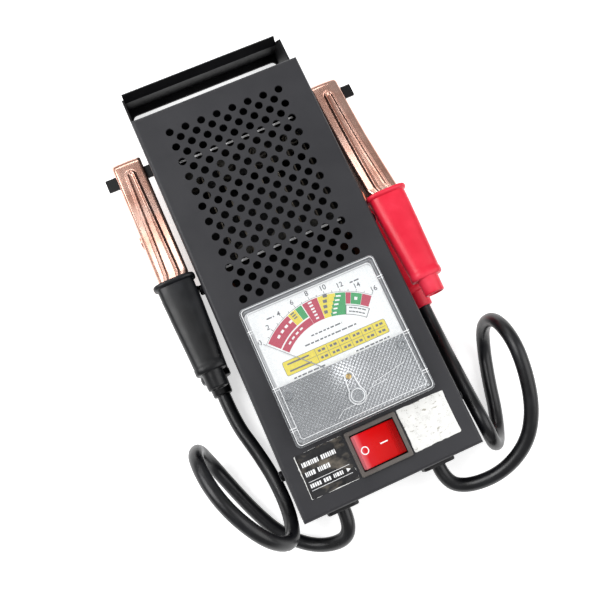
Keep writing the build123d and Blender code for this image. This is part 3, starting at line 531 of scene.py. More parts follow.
# the bead, a pressed hairpin that is closed towards the tip
BEAD_START, BEAD_RUN = 0.0435, 0.075
BEAD_HALF, BEAD_GROWTH = 0.0021, 0.0014  # half width at the tip, and how much it grows over the run
BEAD_RIM_H, BEAD_RIM_W = 0.0013, 0.00085
BEAD_FLOOR_H, BEAD_FLOOR_EDGE = 0.0003, 0.0008
BEAD_MARGIN = 0.0022  # the mesh is finest over the bead and this much beside it
BEAD_SHARE = 0.8  # share of the mesh's columns there


def clamp_body(colour, half):
    return colour + "_lever" if half == "upper" else "case"


def clamp_point(colour, half, u, v, x):
    """Point of one half of a clamp, x measured across it from its middle."""
    rivet = JOINTS[colour + "_clamp_squeeze"]
    sign = 1 if half == "upper" else -1
    return Vector((rivet.x + x, rivet.y + u, rivet.z + sign * v))


def jaw_top(u):
    """Height of a jaw's top over the mid plane: a slope that sags a little."""
    length = JAW_TIP - GRIP_START
    slope = (FLANGE_V - TIP_V) / length
    run = JAW_TIP - max(u, GRIP_START)
    dip = JAW_DIP * math.sin(math.pi * run / length)
    return TIP_V + slope * run - dip


def blend_between(value, points):
    """Piecewise linear height through (u, v) points, falling u."""
    for (u1, v1), (u2, v2) in zip(points, points[1:]):
        if u1 >= value >= u2:
            return v1 + (v2 - v1) * (u1 - value) / (u1 - u2)
    return points[-1][1]


def bead_half(u):
    """Half width of the hairpin at u, to the middle of its rim."""
    return BEAD_HALF + BEAD_GROWTH * min(1.0, max(0.0, BEAD_START - u) / BEAD_RUN)


def bead_height(u, x):
    """Raised rim round a shallow groove, wider towards the boot."""
    half = bead_half(u)
    beyond = max(0.0, u - (BEAD_START - BEAD_HALF))
    distance = math.hypot(x, beyond)
    rim = BEAD_RIM_H * math.exp(-((distance - half) / BEAD_RIM_W) ** 2)
    if distance >= half:
        return rim
    return rim + BEAD_FLOOR_H * min(1.0, (half - distance) / BEAD_FLOOR_EDGE)


def outside_boot(u):
    """1 along the open jaw, 0 along the handle in its boot, and a blend between."""
    return 1 - min(1.0, max(0.0, (GRIP_START + BOOT_BLEND - u) / BOOT_BLEND))


def jaw_section(half, u):
    """Cross-section of a jaw at u, as (x, v) from one lower edge over the top to the other."""
    half_w = HALF_WIDTHS[half] + JAW_EXTRA * outside_boot(u)
    flat = half_w - JAW_BEND
    top = jaw_top(u) - TIP_DROP * max(0.0, 1 - (JAW_TIP - u) / TIP_DROP_RUN) ** 2
    shoulder = top - JAW_CROWN
    edge = min(blend_between(u, SIDE_EDGE), shoulder - JAW_BEND - 0.0002)
    side = [(half_w, edge), (half_w, (edge + shoulder - JAW_BEND) / 2)]
    side += arc(flat, shoulder - JAW_BEND, JAW_BEND, [90 * step / 5 for step in range(6)])
    bead_edge = min(bead_half(u) + BEAD_MARGIN, flat - 0.0003)
    crest = []
    for step in range(1, JAW_COLUMNS):
        share = 1 - 2 * step / JAW_COLUMNS
        if abs(share) < BEAD_SHARE:
            x = share / BEAD_SHARE * bead_edge
        else:
            beside = (abs(share) - BEAD_SHARE) / (1 - BEAD_SHARE)
            x = math.copysign(bead_edge + beside * (flat - bead_edge), share)
        crest.append((x, top - JAW_CROWN * (x / flat) ** 2 + bead_height(u, x)))
    return side + crest + [(-x, v) for x, v in side[::-1]]


def make_jaw(colour, half):
    """Pressed jaw: a folded channel with rounded bends, a bead along it and a turned-down tip."""
    inward = -SIDES[colour] * JAW_INWARD
    handle_end = GRIP_END + 0.002
    rows = []
    for i in range(JAW_ROWS + 1):
        u = JAW_TIP + (handle_end - JAW_TIP) * i / JAW_ROWS
        middle = inward * outside_boot(u)
        rows.append([clamp_point(colour, half, u, v, middle + x) for x, v in jaw_section(half, u)])
    name = half + "_shell_" + colour
    mesh = mesh_of_rings(name, rows, closed_ring=False, caps=False)
    jaw = add_piece(name, mesh, MATERIALS["copper_plate"], clamp_body(colour, half))
    thicken(jaw, JAW_WALL, clamp_point(colour, half, 0, 0, 0))
    smooth(jaw.data, 35)
    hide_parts(half + "_jaw_" + colour)
    return jaw


def thicken(piece, thickness, inside):
    """Gives an open skin a wall, on the side where the point inside lies."""
    made = bmesh.new()
    made.from_mesh(piece.data)
    bmesh.ops.recalc_face_normals(made, faces=made.faces)
    made.normal_update()
    face = max(made.faces, key=lambda f: abs(f.calc_center_median().z - inside.z))
    if face.normal.dot(face.calc_center_median() - inside) < 0:
        bmesh.ops.reverse_faces(made, faces=made.faces)
    made.to_mesh(piece.data)
    made.free()
    solid = piece.modifiers.new("wall", "SOLIDIFY")
    solid.thickness = thickness
    solid.offset = -1
    apply_modifiers(piece)


def apply_modifiers(piece):
    graph = bpy.context.evaluated_depsgraph_get()
    mesh = bpy.data.meshes.new_from_object(piece.evaluated_get(graph))
    piece.modifiers.clear()
    piece.data = mesh


def superellipse(width, height, power, count=40):
    """Rounded-box outline of the given full width and height."""
    outline = []
    for i in range(count):
        turn = 2 * math.pi * i / count
        c, s = math.cos(turn), math.sin(turn)
        outline.append((math.copysign(abs(c) ** (2 / power), c) * width / 2,
                        math.copysign(abs(s) ** (2 / power), s) * height / 2))
    return outline


# sections of a boot: u, full width, lowest v, highest v, squareness
BOOT = [(-0.0338, 0.0225, 0.0100, 0.0240, 3.2), (-0.0339, 0.0244, 0.0092, 0.0248, 3.0),
        (-0.0344, 0.0250, 0.0089, 0.0251, 3.0), (-0.0352, 0.0252, 0.0088, 0.0252, 3.0),
        (-0.0360, 0.0249, 0.0090, 0.0250, 3.0), (-0.0364, 0.0236, 0.0096, 0.0243, 3.2),
        (-0.0368, 0.0218, 0.0104, 0.0236, 3.4), (-0.0450, 0.0214, 0.0104, 0.0240, 3.4),
        (-0.0600, 0.0202, 0.0106, 0.0246, 3.3), (-0.0750, 0.0187, 0.0108, 0.0251, 3.2),
        (-0.0850, 0.0178, 0.0109, 0.0254, 3.1), (-0.0870, 0.0177, 0.0109, 0.0254, 3.1),
        (-0.0874, 0.0183, 0.0106, 0.0257, 3.0), (-0.0902, 0.0182, 0.0106, 0.0257, 3.0),
        (-0.0909, 0.0174, 0.0110, 0.0254, 2.8), (-0.0912, 0.0146, 0.0120, 0.0251, 2.5),
        (-0.0913, 0.0126, 0.0124, 0.0251, 2.2), (-0.0920, 0.0122, 0.0127, 0.0250, 2.1),
        (-0.1000, 0.0118, 0.0130, 0.0248, 2.0), (-0.1007, 0.0114, 0.0132, 0.0246, 2.0),
        (-0.1010, 0.0106, 0.0136, 0.0242, 2.0)]
# the mouth in the collar, which the lead goes into
MOUTH_R = LEAD_D / 2 + 0.00005
MOUTH_V = (0.013 + HALF_OPEN - 0.0012) / 2
MOUTH = ((-0.1010, MOUTH_R + 0.0004), (-0.1006, MOUTH_R), (-0.0940, MOUTH_R))


def make_grip(colour, half):
    """Moulded boot: rolled flange, tapering sleeve, rear rim and the lead's collar with its mouth."""
    rings = []
    for u, width, low, high, power in BOOT:
        middle = (low + high) / 2
        rings.append([clamp_point(colour, half, u, middle + b, a)
                      for a, b in superellipse(width, high - low, power)])
    for u, radius in MOUTH:
        rings.append([clamp_point(colour, half, u, MOUTH_V + b, a)
                      for a, b in superellipse(2 * radius, 2 * radius, 2.0)])
    name = half + "_boot_" + colour
    mesh = mesh_of_rings(name, rings)
    smooth(mesh, 50)
    slot = "grip_" + colour
    grip = add_piece(name, mesh, MATERIALS[slot], clamp_body(colour, half))
    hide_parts(half + "_grip_" + colour)
    return grip


for colour in SIDES:
    for half in HALF_WIDTHS:
        make_jaw(colour, half)
    boots = [make_grip(colour, half) for half in HALF_WIDTHS]


# ---- dial print
PRINT_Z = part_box("meter_dial")[1].z + 0.00002
INK_T = 0.00003


def dial_band(inner, outer, start, stop, steps=16):
    """Ring sector round the pointer's pivot: radii in mm, angles in degrees."""
    outline = []
    for radius, order in ((outer, 1), (inner, -1)):
        turns = [start + (stop - start) * i / steps for i in range(steps + 1)]
        outline += arc(PIVOT.x, PIVOT.y, radius * MM, turns[::order])
    return outline


def printed(name, outlines, layer, ink):
    """Print on the dial, layer ink thicknesses above its card."""
    prisms(name, outlines, PRINT_Z + layer * INK_T, INK_T, INKS[ink])


SCALE_ZERO, DEGREES_PER_VOLT = 135.0, 5.36
BAND_OUT, BAND_IN, BAND_SPLIT = 47.5, 34.8, 39.8
NUMBERS_R, NUMBER_SIZE = 51.8, 4.1


def print_bands():
    """Coloured bands, with the blocks that stand for the words on them."""
    red = [dial_band(BAND_SPLIT, BAND_OUT, 133.4, 110.5), dial_band(BAND_IN, 39.0, 133.4, 98.3),
           dial_band(BAND_IN, BAND_OUT, 98.1, 87.0), dial_band(41.0, BAND_OUT, 67.0, 63.5),
           dial_band(41.0, BAND_OUT, 55.6, 49.2)]
    yellow = [dial_band(BAND_SPLIT, BAND_OUT, 110.3, 103.9)]
    green = [dial_band(BAND_SPLIT, BAND_OUT, 103.7, 98.8), dial_band(41.0, BAND_OUT, 63.3, 55.8)]
    rows = 6
    row_h = (BAND_OUT - BAND_IN) / rows
    for row in range(rows):
        low = BAND_IN + row * row_h
        edge = 80.6 - row * 1.25
        yellow.append(dial_band(low, low + row_h, 86.8, edge, 6))
        green.append(dial_band(low, low + row_h, edge - 0.1, 67.2, 6))
    printed("dial_red", red, 0, "red")
    printed("dial_yellow", yellow, 0, "yellow")
    printed("dial_green", green, 0, "green")
    bars = [dial_band(low, low + 0.9, edge - 0.8, edge - 4.2, 4)
            for low, edge in ((36.0, 79.5), (38.3, 78.2), (40.6, 77.0), (42.9, 75.8), (45.2, 74.6))]
    bars += [dial_band(42.0 + 1.9 * i, 43.0 + 1.9 * i, 94.2, 91.4, 3) for i in range(3)]
    bars += [dial_band(36.2 + 2.0 * i, 37.2 + 2.0 * i, 94.2, 91.4, 3) for i in range(3)]
    bars += [dial_band(43.2, 44.6, 127 - 4.6 * i, 124.4 - 4.6 * i, 3) for i in range(4)]
    bars += [dial_band(36.4, 37.4, 127 - 5.2 * i, 124 - 5.2 * i, 3) for i in range(4)]
    bars += [dial_band(43.4, 45.2, 60.8, 58.6, 3)]
    printed("dial_white", bars, 2, "white")
    letters = [dial_band(37.2 + 3.0 * i, 39.0 + 3.0 * i, 85.6 - 0.9 * i, 82.6 - 0.9 * i, 3)
               for i in range(4)]
    letters += [dial_band(43.2 + 1.5 * i, 44.0 + 1.5 * i, 108.6, 105.6, 3) for i in range(3)]
    printed("dial_letters", letters, 2, "grey")


def print_marks():
    """Ticks, arc line, table and the short bars that stand for small print."""
    grey = [dial_band(48.0, 48.2, SCALE_ZERO, SCALE_ZERO - 16 * DEGREES_PER_VOLT, 40)]
    for volt in range(17):
        turn = SCALE_ZERO - volt * DEGREES_PER_VOLT
        length = 1.6 if volt % 2 == 0 else 1.0
        grey.append(dial_band(48.2, 48.2 + length, turn + 0.17, turn - 0.17, 1))
    box_in, box_out = 34.8, 40.4
    grey += [dial_band(box_out - 0.35, box_out, 67, 48, 12), dial_band(box_in, box_in + 0.35, 67, 48, 12),
             dial_band(box_in, box_out, 67.3, 66.7, 1), dial_band(box_in, box_out, 48.4, 47.8, 1)]
    for level, spans in ((38.5, 4), (36.4, 5)):
        for i in range(spans):
            start = 64.5 - 14.5 * i / spans
            grey.append(dial_band(level, level + 0.7, start, start - 12 / spans, 3))
    mid = METER_MID
    random.seed(4)
    for level, left, right in ((12.6, -9.1, 9.5), (8.8, -14.5, 16.5), (-5.2, -27.3, -8.8),
                               (-5.2, 10.0, 30.3), (31.0, -28.0, -23.5), (31.5, 23.0, 28.5)):
        x = left
        while x < right:
            word = min(random.uniform(1.2, 3.4), right - x)
            grey.append(rectangle(mid.x + (x + word / 2) * MM, mid.y + level * MM, word * MM, 0.8 * MM))
            x += word + 0.7
    printed("dial_marks", grey, 0, "grey")
    table_x, table_y, table_w, table_h = 0.8, 1.3, 61.6, 7.8
    middle = (mid.x + table_x * MM, mid.y + table_y * MM)
    line = rounded(*middle, (table_w + 0.5) * MM, (table_h + 0.5) * MM, 1.2 * MM)
    printed("dial_table_line", [line], 0, "grey")
    printed("dial_table", [rounded(*middle, table_w * MM, table_h * MM, 1.0 * MM)], 1, "yellow")
    marks = []
    for row in (-1, 1):
        level = middle[1] + row * 2.0 * MM
        marks.append(rectangle(middle[0] - 22 * MM, level, 13 * MM, 0.9 * MM))
        for column in range(6):
            x = middle[0] + (-8 + 7.0 * column) * MM
            marks.append(rectangle(x - 1.2 * MM, level, 1.5 * MM, 1.3 * MM))
            marks.append(rectangle(x + 1.2 * MM, level, 1.9 * MM, 1.3 * MM))
    marks.append(rectangle(middle[0] + 6 * MM, middle[1], 48 * MM, 0.2 * MM))
    for column in range(6):
        x = middle[0] + (-11.6 + 7.0 * column) * MM
        marks.append(rectangle(x, middle[1], 0.2 * MM, table_h * MM))
    printed("dial_table_marks", marks, 3, "grey")


def print_numbers():
    """Even numbers from 0 to 16 along the scale."""
    for volt in range(0, 17, 2):
        text = bpy.data.curves.new("number_%d" % volt, "FONT")
        text.body = str(volt)
        text.size = NUMBER_SIZE * MM
        text.offset = 0.05 * MM
        text.align_x = "CENTER"
        text.align_y = "CENTER"
        text.extrude = INK_T / 2
        number = new_object("number_%d" % volt, text)
        turn = math.radians(SCALE_ZERO - volt * DEGREES_PER_VOLT)
        radius = NUMBERS_R * MM
        number.location = (PIVOT.x + radius * math.cos(turn), PIVOT.y + radius * math.sin(turn),
                           PRINT_Z + INK_T)
        text.materials.append(INKS["grey"])
        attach(number, "case")


print_bands()
print_marks()
print_numbers()


# ---- meter plate and cover
def make_knurled_plate():
    """The plate over the mechanism: silver, pressed all over with small pyramids."""
    low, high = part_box("meter_mask")
    inset = 0.0002
    pitch, rise = 0.0024, 0.00011
    cells = 8  # mesh cells for each pitch
    shift = 0.8  # of a cell, so that the first and last cells are cut at the inset
    dome_r, dome_rise = 0.0075, 0.0002
    columns, rows = round((high.x - low.x) / pitch * cells), round((high.y - low.y) / pitch * cells)
    made = bmesh.new()
    grid = []
    for j in range(rows + 1):
        line = []
        for i in range(columns + 1):
            x = low.x + inset + pitch / cells * (i - shift)
            y = low.y + inset + pitch / cells * (j - shift)
            x = min(max(x, low.x + inset), high.x - inset)
            y = min(max(y, low.y + inset), high.y - inset)
            a = abs(((x + y) / pitch) % 1 - 0.5) * 2
            b = abs(((x - y) / pitch) % 1 - 0.5) * 2
            from_pivot = math.hypot(x - PIVOT.x, (y - PIVOT.y - 0.003) * 0.8)
            dome = math.exp(-(from_pivot / dome_r) ** 2)
            z = PLATE_TOP - rise - 0.0003 + rise * min(a, b) * (1 + 1.2 * dome) + dome_rise * dome
            line.append(made.verts.new((x, y, z)))
        grid.append(line)
    for j in range(rows):
        for i in range(columns):
            made.faces.new((grid[j][i], grid[j][i + 1], grid[j + 1][i + 1], grid[j + 1][i]))
    mesh = bpy.data.meshes.new("knurled_plate")
    made.to_mesh(mesh)
    made.free()
    plate = add_piece("knurled_plate", mesh, MATERIALS["textured_foil"], "case")
    solid = plate.modifiers.new("wall", "SOLIDIFY")
    solid.thickness = 0.0004
    apply_modifiers(plate)
    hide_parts("meter_mask")


def make_jewel():
    """Low dome over the pointer's pivot."""
    radius, rise = 0.0016, 0.0003
    rings = []
    for i in range(7):
        turn = math.radians(90 * i / 6)
        r = max(radius * math.cos(turn), radius * 0.02)
        z = PLATE_TOP - 0.0001 + rise * math.sin(turn)
        rings.append([(x, y, z) for x, y in arc(PIVOT.x, PIVOT.y, r, range(0, 360, 10))])
    mesh = mesh_of_rings("pivot_jewel", rings)
    smooth(mesh, 60)
    add_piece("pivot_jewel", mesh, MATERIALS["brass_part"], "case")


def rim_ring(inward, z, radius):
    """Square ring with round corners, inward of the meter's outline."""
    size = 2 * (METER_HALF - inward)
    return [(x, y, z) for x, y in rounded(METER_MID.x, METER_MID.y, size, size, radius, 8)]


def make_clear_cover():
    """Clear moulding: stepped rim with rounded corners round a flat window, open below."""
    top, bottom = COVER_TOP, METER_LOW.z
    # inward distance from the outer wall, height, and corner radius in mm
    profile = [(0.0, bottom, 3.0), (0.0, top - 0.0012, 3.0), (0.0003, top - 0.0005, 2.8),
               (0.0011, top, 2.4), (0.0024, top, 1.9), (0.0028, top - 0.0005, 1.8),
               (0.0036, top - 0.0005, 1.6), (0.0040, top - 0.0009, 1.4), (0.0058, top - 0.0009, 1.2),
               (0.0300, top - 0.0008, 1.2), (0.0300, top - 0.0018, 1.2), (0.0044, top - 0.0018, 1.4),
               (0.0018, top - 0.0019, 1.8), (0.0016, bottom, 1.9)]
    rings = [rim_ring(inward, z, radius * MM) for inward, z, radius in profile]
    mesh = mesh_of_rings("clear_cover", rings, caps=False)
    made = bmesh.new()
    made.from_mesh(mesh)
    count = len(rings[0])
    made.verts.ensure_lookup_table()
    # rings 9 and 10 bound the window's middle above and below: each is filled, not joined
    upper, lower = 9 * count, 10 * count
    for f in [f for f in made.faces if all(upper <= v.index < lower + count for v in f.verts)]:
        made.faces.remove(f)
    made.faces.new([made.verts[upper + i] for i in range(count)])
    made.faces.new([made.verts[lower + i] for i in range(count)][::-1])
    last = (len(profile) - 1) * count
    for i in range(count):
        j = (i + 1) % count
        made.faces.new((made.verts[i], made.verts[j], made.verts[last + j], made.verts[last + i]))
    bmesh.ops.recalc_face_normals(made, faces=made.faces)
    made.to_mesh(mesh)
    made.free()
    smooth(mesh, 30)
    cover = add_piece("clear_cover", mesh, MATERIALS["clear_plastic"], "case")
    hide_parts("meter_cover")


def closed_skin(name, rings, angle):
    """Skin over rings that ends where it starts, as round a picture frame."""
    mesh = mesh_of_rings(name, rings + [rings[0]], caps=False)
    made = bmesh.new()
    made.from_mesh(mesh)
    bmesh.ops.remove_doubles(made, verts=made.verts, dist=1e-7)
    bmesh.ops.recalc_face_normals(made, faces=made.faces)
    made.to_mesh(mesh)
    made.free()
    smooth(mesh, angle)
    return mesh


def ring_piece(name, x, y, z, inner, outer, height, material):
    """Flat ring with soft edges."""
    soft = min(height, outer - inner) * 0.3
    profile = [(inner, z), (inner, z + height - soft), (inner + soft, z + height),
               (outer - soft, z + height), (outer, z + height - soft), (outer, z)]
    rings = [[(*point, h) for point in arc(x, y, r, range(0, 360, 8))] for r, h in profile]
    add_piece(name, closed_skin(name, rings, 50), material, "case")


def frame_line(name, inward, z, width, radius):
    """Narrow white rib round the cover's rim: a painted highlight along the rim's edge."""
    rings = [rim_ring(inward + width * step, z + width * 0.4 * lift, radius - width * step)
             for step, lift in ((0.0, 0.0), (0.25, 0.8), (0.5, 1.0), (0.75, 0.8), (1.0, 0.0))]
    add_piece(name, closed_skin(name, rings, 60), INKS["painted_highlight_line"], "case")


def stroke(points, width):
    """A line of even width through the points, as one small quad for each span."""
    quads = []
    for (x1, y1), (x2, y2) in zip(points, points[1:]):
        length = math.hypot(x2 - x1, y2 - y1)
        nx, ny = -(y2 - y1) / length * width / 2, (x2 - x1) / length * width / 2
        quads.append([(x1 - nx, y1 - ny), (x2 - nx, y2 - ny), (x2 + nx, y2 + ny), (x1 + nx, y1 + ny)])
    return quads


def circle(x, y, radius, count=28):
    return arc(x, y, radius, [360 * i / count for i in range(count + 1)])


def moulded_rings():
    """The cover's two boss rings, and the keyhole rib from the pivot to the adjuster drawn as a white stroke, a
    painted highlight.
    """
    z, thickness = COVER_TOP - 0.0009, 0.0001
    rings = []
    for side in SIDES.values():
        for radius, width in ((0.0025, 0.0005), (0.0017, 0.0003)):
            rings += stroke(circle(METER_MID.x + side * BOSS_REACH, BOSS_Y, radius), width)
    prisms("boss_rings", rings, z, thickness, INKS["rim_grey"])
    wide, narrow = 0.0047, 0.0024
    key = arc(ADJUSTER.x, ADJUSTER.y, wide, range(-225, 46, 15))
    key.append((PIVOT.x + narrow, PIVOT.y))
    key += arc(PIVOT.x, PIVOT.y, narrow, range(20, 181, 20))
    key.append(key[0])
    # white stroke along the keyhole rib: a painted highlight
    prisms("keyhole_highlight", stroke(key, 0.0006), z, thickness, INKS["painted_highlight_line"])


def rim_details():
    """Painted highlights: white lines round the rim, on the moulding lugs that cross it and along two flow lines
    in the window.
    """
    frame_line("rim_highlight_outer", 0.0009, COVER_TOP - 0.00005, 0.00045, 0.0024)
    frame_line("rim_highlight_inner", 0.0037, COVER_TOP - 0.0006, 0.00035, 0.0016)
    lug_l = 0.0034
    lugs = []
    for side in SIDES.values():
        for y in (0.0275, -0.0065, -0.0300):
            x = METER_MID.x + side * (METER_HALF - 0.0020)
            lugs.append(rectangle(x, METER_MID.y + y, lug_l, 0.0005))
            lugs.append(rectangle(x, METER_MID.y + y - 0.0014, lug_l, 0.0003))
    # white strips on the lugs: painted highlights
    prisms("rim_lug_highlights", lugs, COVER_TOP - 0.0002, 0.0003, INKS["painted_highlight_line"])
    long_line = ((-0.0147, -0.0352), (-0.0100, -0.0320), (0.0000, -0.0318), (0.0060, -0.0295),
                 (0.0110, -0.0250), (0.0310, -0.0215))
    short_line = ((0.0065, -0.0270), (0.0180, -0.0262))
    mid = METER_MID
    flow = []
    for points, width in ((long_line, 0.00022), (short_line, 0.00018)):
        for (x1, y1), (x2, y2) in zip(points, points[1:]):
            flow.append([(mid.x + x1, mid.y + y1), (mid.x + x2, mid.y + y2),
                         (mid.x + x2, mid.y + y2 + width), (mid.x + x1, mid.y + y1 + width)])
    # white strips along the flow lines: painted highlights
    prisms("window_flow_highlights", flow, COVER_TOP - 0.00095, 0.00012, INKS["painted_highlight_line"])


def make_needle():
    """Slim tapered needle with a hub and a short tail, in place of the plain pointer."""
    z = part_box("meter_pointer")[0].z
    turn = math.radians(SCALE_ZERO)
    along = Vector((math.cos(turn), math.sin(turn)))
    across = Vector((-math.sin(turn), math.cos(turn)))
    # distance along the needle and half its width there, then back along the other side
    edge = [(-0.006, 0.0009), (0.0, 0.0006), (0.010, 0.00028), (0.0495, 0.00012)]
    shape = [(a, -b) for a, b in edge] + edge[::-1]
    needle = [(PIVOT.x + a * along.x + b * across.x, PIVOT.y + a * along.y + b * across.y)
              for a, b in shape]
    hub = arc(PIVOT.x, PIVOT.y, 0.0026, range(0, 360, 15))
    piece = prisms("needle", [needle], z, 0.0003, INKS["rim_grey"], "pointer")
    prisms("needle_hub", [hub], z - 0.0001, 0.0005, MATERIALS["brass_part"], "pointer")
    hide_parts("meter_pointer")


def finish_meter():
    """The plate, the clear cover, the needle, what is moulded into the cover, and the painted highlights on its
    rim and rings.
    """
    make_knurled_plate()
    make_clear_cover()
    make_needle()
    rim_details()
    moulded_rings()
    clear = MATERIALS["adjuster_plastic"]
    for name, side in (("left", -1), ("right", 1)):
        ring_piece("plate_boss_" + name, METER_MID.x + side * BOSS_REACH, BOSS_Y, PLATE_TOP - 0.0004,
                   0.0019, 0.0026, 0.0007, clear)
    make_jewel()
    ring_piece("adjuster_boss", ADJUSTER.x, ADJUSTER.y, COVER_TOP - 0.001, 0.0031, 0.0043, 0.0019, clear)
    # thin white ring on the adjuster's boss: a painted highlight
    ring_piece("adjuster_rim_highlight", ADJUSTER.x, ADJUSTER.y, COVER_TOP + 0.0007, 0.0034, 0.0038, 0.0003,
               INKS["painted_highlight_line"])


finish_meter()


# ---- rocker
ROCKER_R = 0.0128
FACE_BEND, FACE_SLOPE, VALLEY = 6.385, -0.1757, 0.0032  # the face's height is a parabola in x
RAISED_X, PRESSED_X = -0.0113, 0.01264
PIN_REACH = 0.0013  # the CAD pin's ends stand out by this much past the face drawn here
MARK_T = 0.00008


def face_height(x):
    """Height of the rocker's dished face above its pin."""
    return FACE_BEND * x * x + FACE_SLOPE * x + VALLEY


def facet_point(x, across, lift):
    """Point on the rocker's face: x from the pivot pin, across along the pin, lift above the face."""
    return Vector((ROCKER_PIN.x + x, ROCKER_PIN.y + across, ROCKER_PIN.z + face_height(x) + lift))


def make_rocker():
    """Rocker with a dished face, soft edges and rounded ends."""
    low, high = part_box("rocker")
    half = (high.y - low.y) / 2 - PIN_REACH
    face = [RAISED_X + (PRESSED_X - RAISED_X) * i / 24 for i in range(25)]
    profile = [(x, face_height(x)) for x in face]
    profile += arc(0, 0, ROCKER_R, (0, -12, -23, 203, 192, 180, 165))
    rings = []
    for across, shrink in ((-half, 0.0006), (-half + 0.0002, 0.0002), (-half + 0.0006, 0.0),
                           (half - 0.0006, 0.0), (half - 0.0002, 0.0002), (half, 0.0006)):
        scale = 1 - shrink / ROCKER_R
        rings.append([(ROCKER_PIN.x + x * scale, ROCKER_PIN.y + across, ROCKER_PIN.z + z - shrink)
                      for x, z in profile])
    mesh = mesh_of_rings("rocker_face", rings)
    smooth(mesh, 50)
    piece = add_piece("rocker_face", mesh, MATERIALS["rocker_red"], "rocker")
    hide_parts("rocker")


def face_strip(name, outlines, height, material):
    """Raised or printed mark that follows the rocker's face."""
    made = bmesh.new()
    for outline in outlines:
        add_prism(made, [facet_point(x, y, -0.0001) for x, y in outline],
                  [facet_point(x, y, height) for x, y in outline])
    add_piece(name, new_mesh(name, made), material, "rocker")


def mark_rocker():
    """Off ring, on bar, and three grip ridges at the pressed end."""
    off_x, inner, outer = -0.0084, 0.0017, 0.0023
    ring = []
    segments = 28
    for i in range(segments):
        a, b = (2 * math.pi * k / segments for k in (i, i + 1))
        ring.append([(off_x + r * math.cos(t), r * math.sin(t))
                     for r, t in ((inner, a), (outer, a), (outer, b), (inner, b))])
    face_strip("rocker_off_mark", ring, MARK_T, INKS["white"])
    face_strip("rocker_on_mark", [rectangle(0.0032, 0, 0.0046, 0.0007)], MARK_T, INKS["white"])
    ridges = [rectangle(0.0086 + 0.0011 * i, 0, 0.0004, 0.0182) for i in range(3)]
    face_strip("rocker_ridges", ridges, 0.00025, MATERIALS["rocker_red"])


make_rocker()
mark_rocker()


# ---- labels
def ragged_outline(low, high, wear, seed):
    """Label outline whose edge is nibbled unevenly, by up to wear."""
    random.seed(seed)
    mid = (low + high) / 2
    outline = rounded(mid.x, mid.y, high.x - low.x, high.y - low.y, 0.0007, 8)
    full = []
    for (x1, y1), (x2, y2) in zip(outline, outline[1:] + outline[:1]):
        pieces = max(1, int(math.hypot(x2 - x1, y2 - y1) / 0.0006))
        full += [(x1 + (x2 - x1) * k / pieces, y1 + (y2 - y1) * k / pieces) for k in range(pieces)]
    shrunk = []
    depth = 0.0
    for x, y in full:
        depth = max(0.0, min(wear, depth + random.uniform(-0.35, 0.35) * wear))
        inward = Vector((mid.x - x, mid.y - y)).normalized() * depth
        shrunk.append((x + inward.x, y + inward.y))
    return shrunk


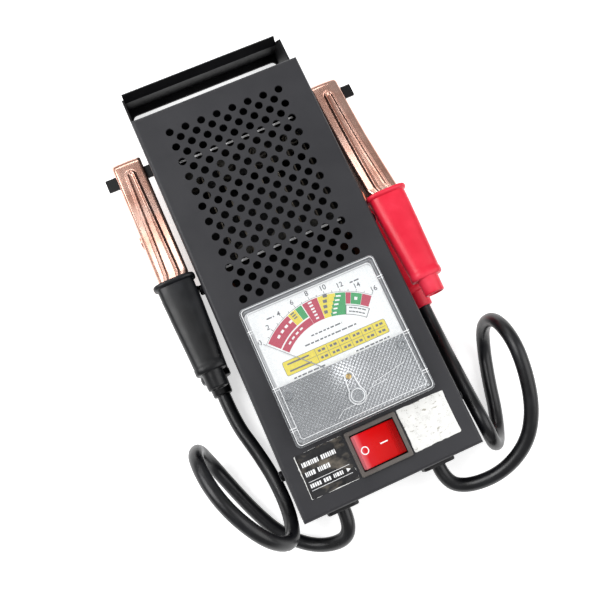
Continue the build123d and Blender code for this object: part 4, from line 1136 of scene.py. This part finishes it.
def make_labels():
    """Left, a worn black film on foil with bars for its words; right, a worn blank foil."""
    low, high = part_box("label_left")
    backing = prisms("label_left_backing", [ragged_outline(low, high, 0.0004, 1)], low.z, 0.00012,
                     MATERIALS["label_foil"])
    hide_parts("label_left")
    film_low = low + Vector((0.0005, 0.0002, 0))
    prisms("label_left_film", [ragged_outline(film_low, high, 0.0003, 2)],
           low.z + 0.0001, 0.00008, MATERIALS["label_dark"])
    mid = (low + high) / 2
    bars = []
    random.seed(8)
    lines = ((6.2, 2.5, (9.5, 8.5)), (0.9, 2.5, (5.2, 6.4)), (-5.6, 2.1, (6.0, 4.2, 5.6)))
    for level, thick, words in lines:
        x = mid.x - 11.8 * MM
        for word in words:
            end = x + word * MM
            while x < end - 0.4 * MM:
                letter = random.uniform(0.5, 1.3) * MM
                bars.append(rectangle(x + letter / 2, mid.y + level * MM, letter, thick * MM))
                x += letter + 0.4 * MM
            x += 1.3 * MM
    arrow_x, arrow_y = mid.x + 9.6 * MM, mid.y - 5.6 * MM
    bars.append([(arrow_x, arrow_y - 1.1 * MM), (arrow_x + 2.2 * MM, arrow_y),
                 (arrow_x, arrow_y + 1.1 * MM)])
    print_z = low.z + 0.0002
    prisms("label_left_print", bars, print_z, INK_T, INKS["white"])
    rules = [rectangle(mid.x, mid.y - down * MM, 24 * MM, 0.25 * MM) for down in (3.3, 8.0)]
    prisms("label_left_rules", rules, print_z, INK_T, INKS["white"])

    low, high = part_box("label_right")
    foil = prisms("label_right_foil", [ragged_outline(low, high, 0.0004, 5)], low.z, 0.00016,
                  MATERIALS["label_foil"])
    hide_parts("label_right")


make_labels()


# ---- floor and light
def make_stage():
    """Pale floor, a hair under the tester."""
    size = 3.0
    mesh = bpy.data.meshes.new("floor")
    mesh.from_pydata([(-size, -size, 0), (size, -size, 0), (size, size, 0), (-size, size, 0)], [],
                     [(0, 1, 2, 3)])
    floor = new_object("floor", mesh)
    floor.location.z = -0.0002
    shader = Shader("floor", (0.92, 0.92, 0.92, 1), 0.9, Specular_IOR_Level=0.1,
                    Emission_Color=(1, 1, 1, 1), Emission_Strength=0.6)
    mesh.materials.append(shader.material)


def area_light(name, place, size, watts, height=None):
    """Softbox that points at the origin. Height makes it a strip."""
    data = bpy.data.lights.new(name, "AREA")
    data.shape = "RECTANGLE"
    data.size = size
    data.size_y = height or size
    data.energy = watts
    light = new_object(name, data)
    light.location = place
    light.rotation_euler = (-Vector(place)).to_track_quat("-Z", "Y").to_euler()


def make_light():
    """White surroundings, key and fill, and a strip for the gleam on the copper."""
    world = bpy.data.worlds.new("studio")
    world.use_nodes = True
    sky = world.node_tree.nodes["Background"]
    sky.inputs["Color"].default_value = (1, 1, 1, 1)
    sky.inputs["Strength"].default_value = 0.36
    bpy.context.scene.world = world
    area_light("key", (-0.74, 0.42, 1.05), 0.9, 12.5)
    area_light("fill", (0.75, -0.35, 0.9), 1.1, 7.5)
    area_light("gleam", (-0.03, 0.97, 0.73), 0.72, 1.75, 0.16)
    bpy.context.scene.view_settings.view_transform = "Standard"


make_stage()
make_light()
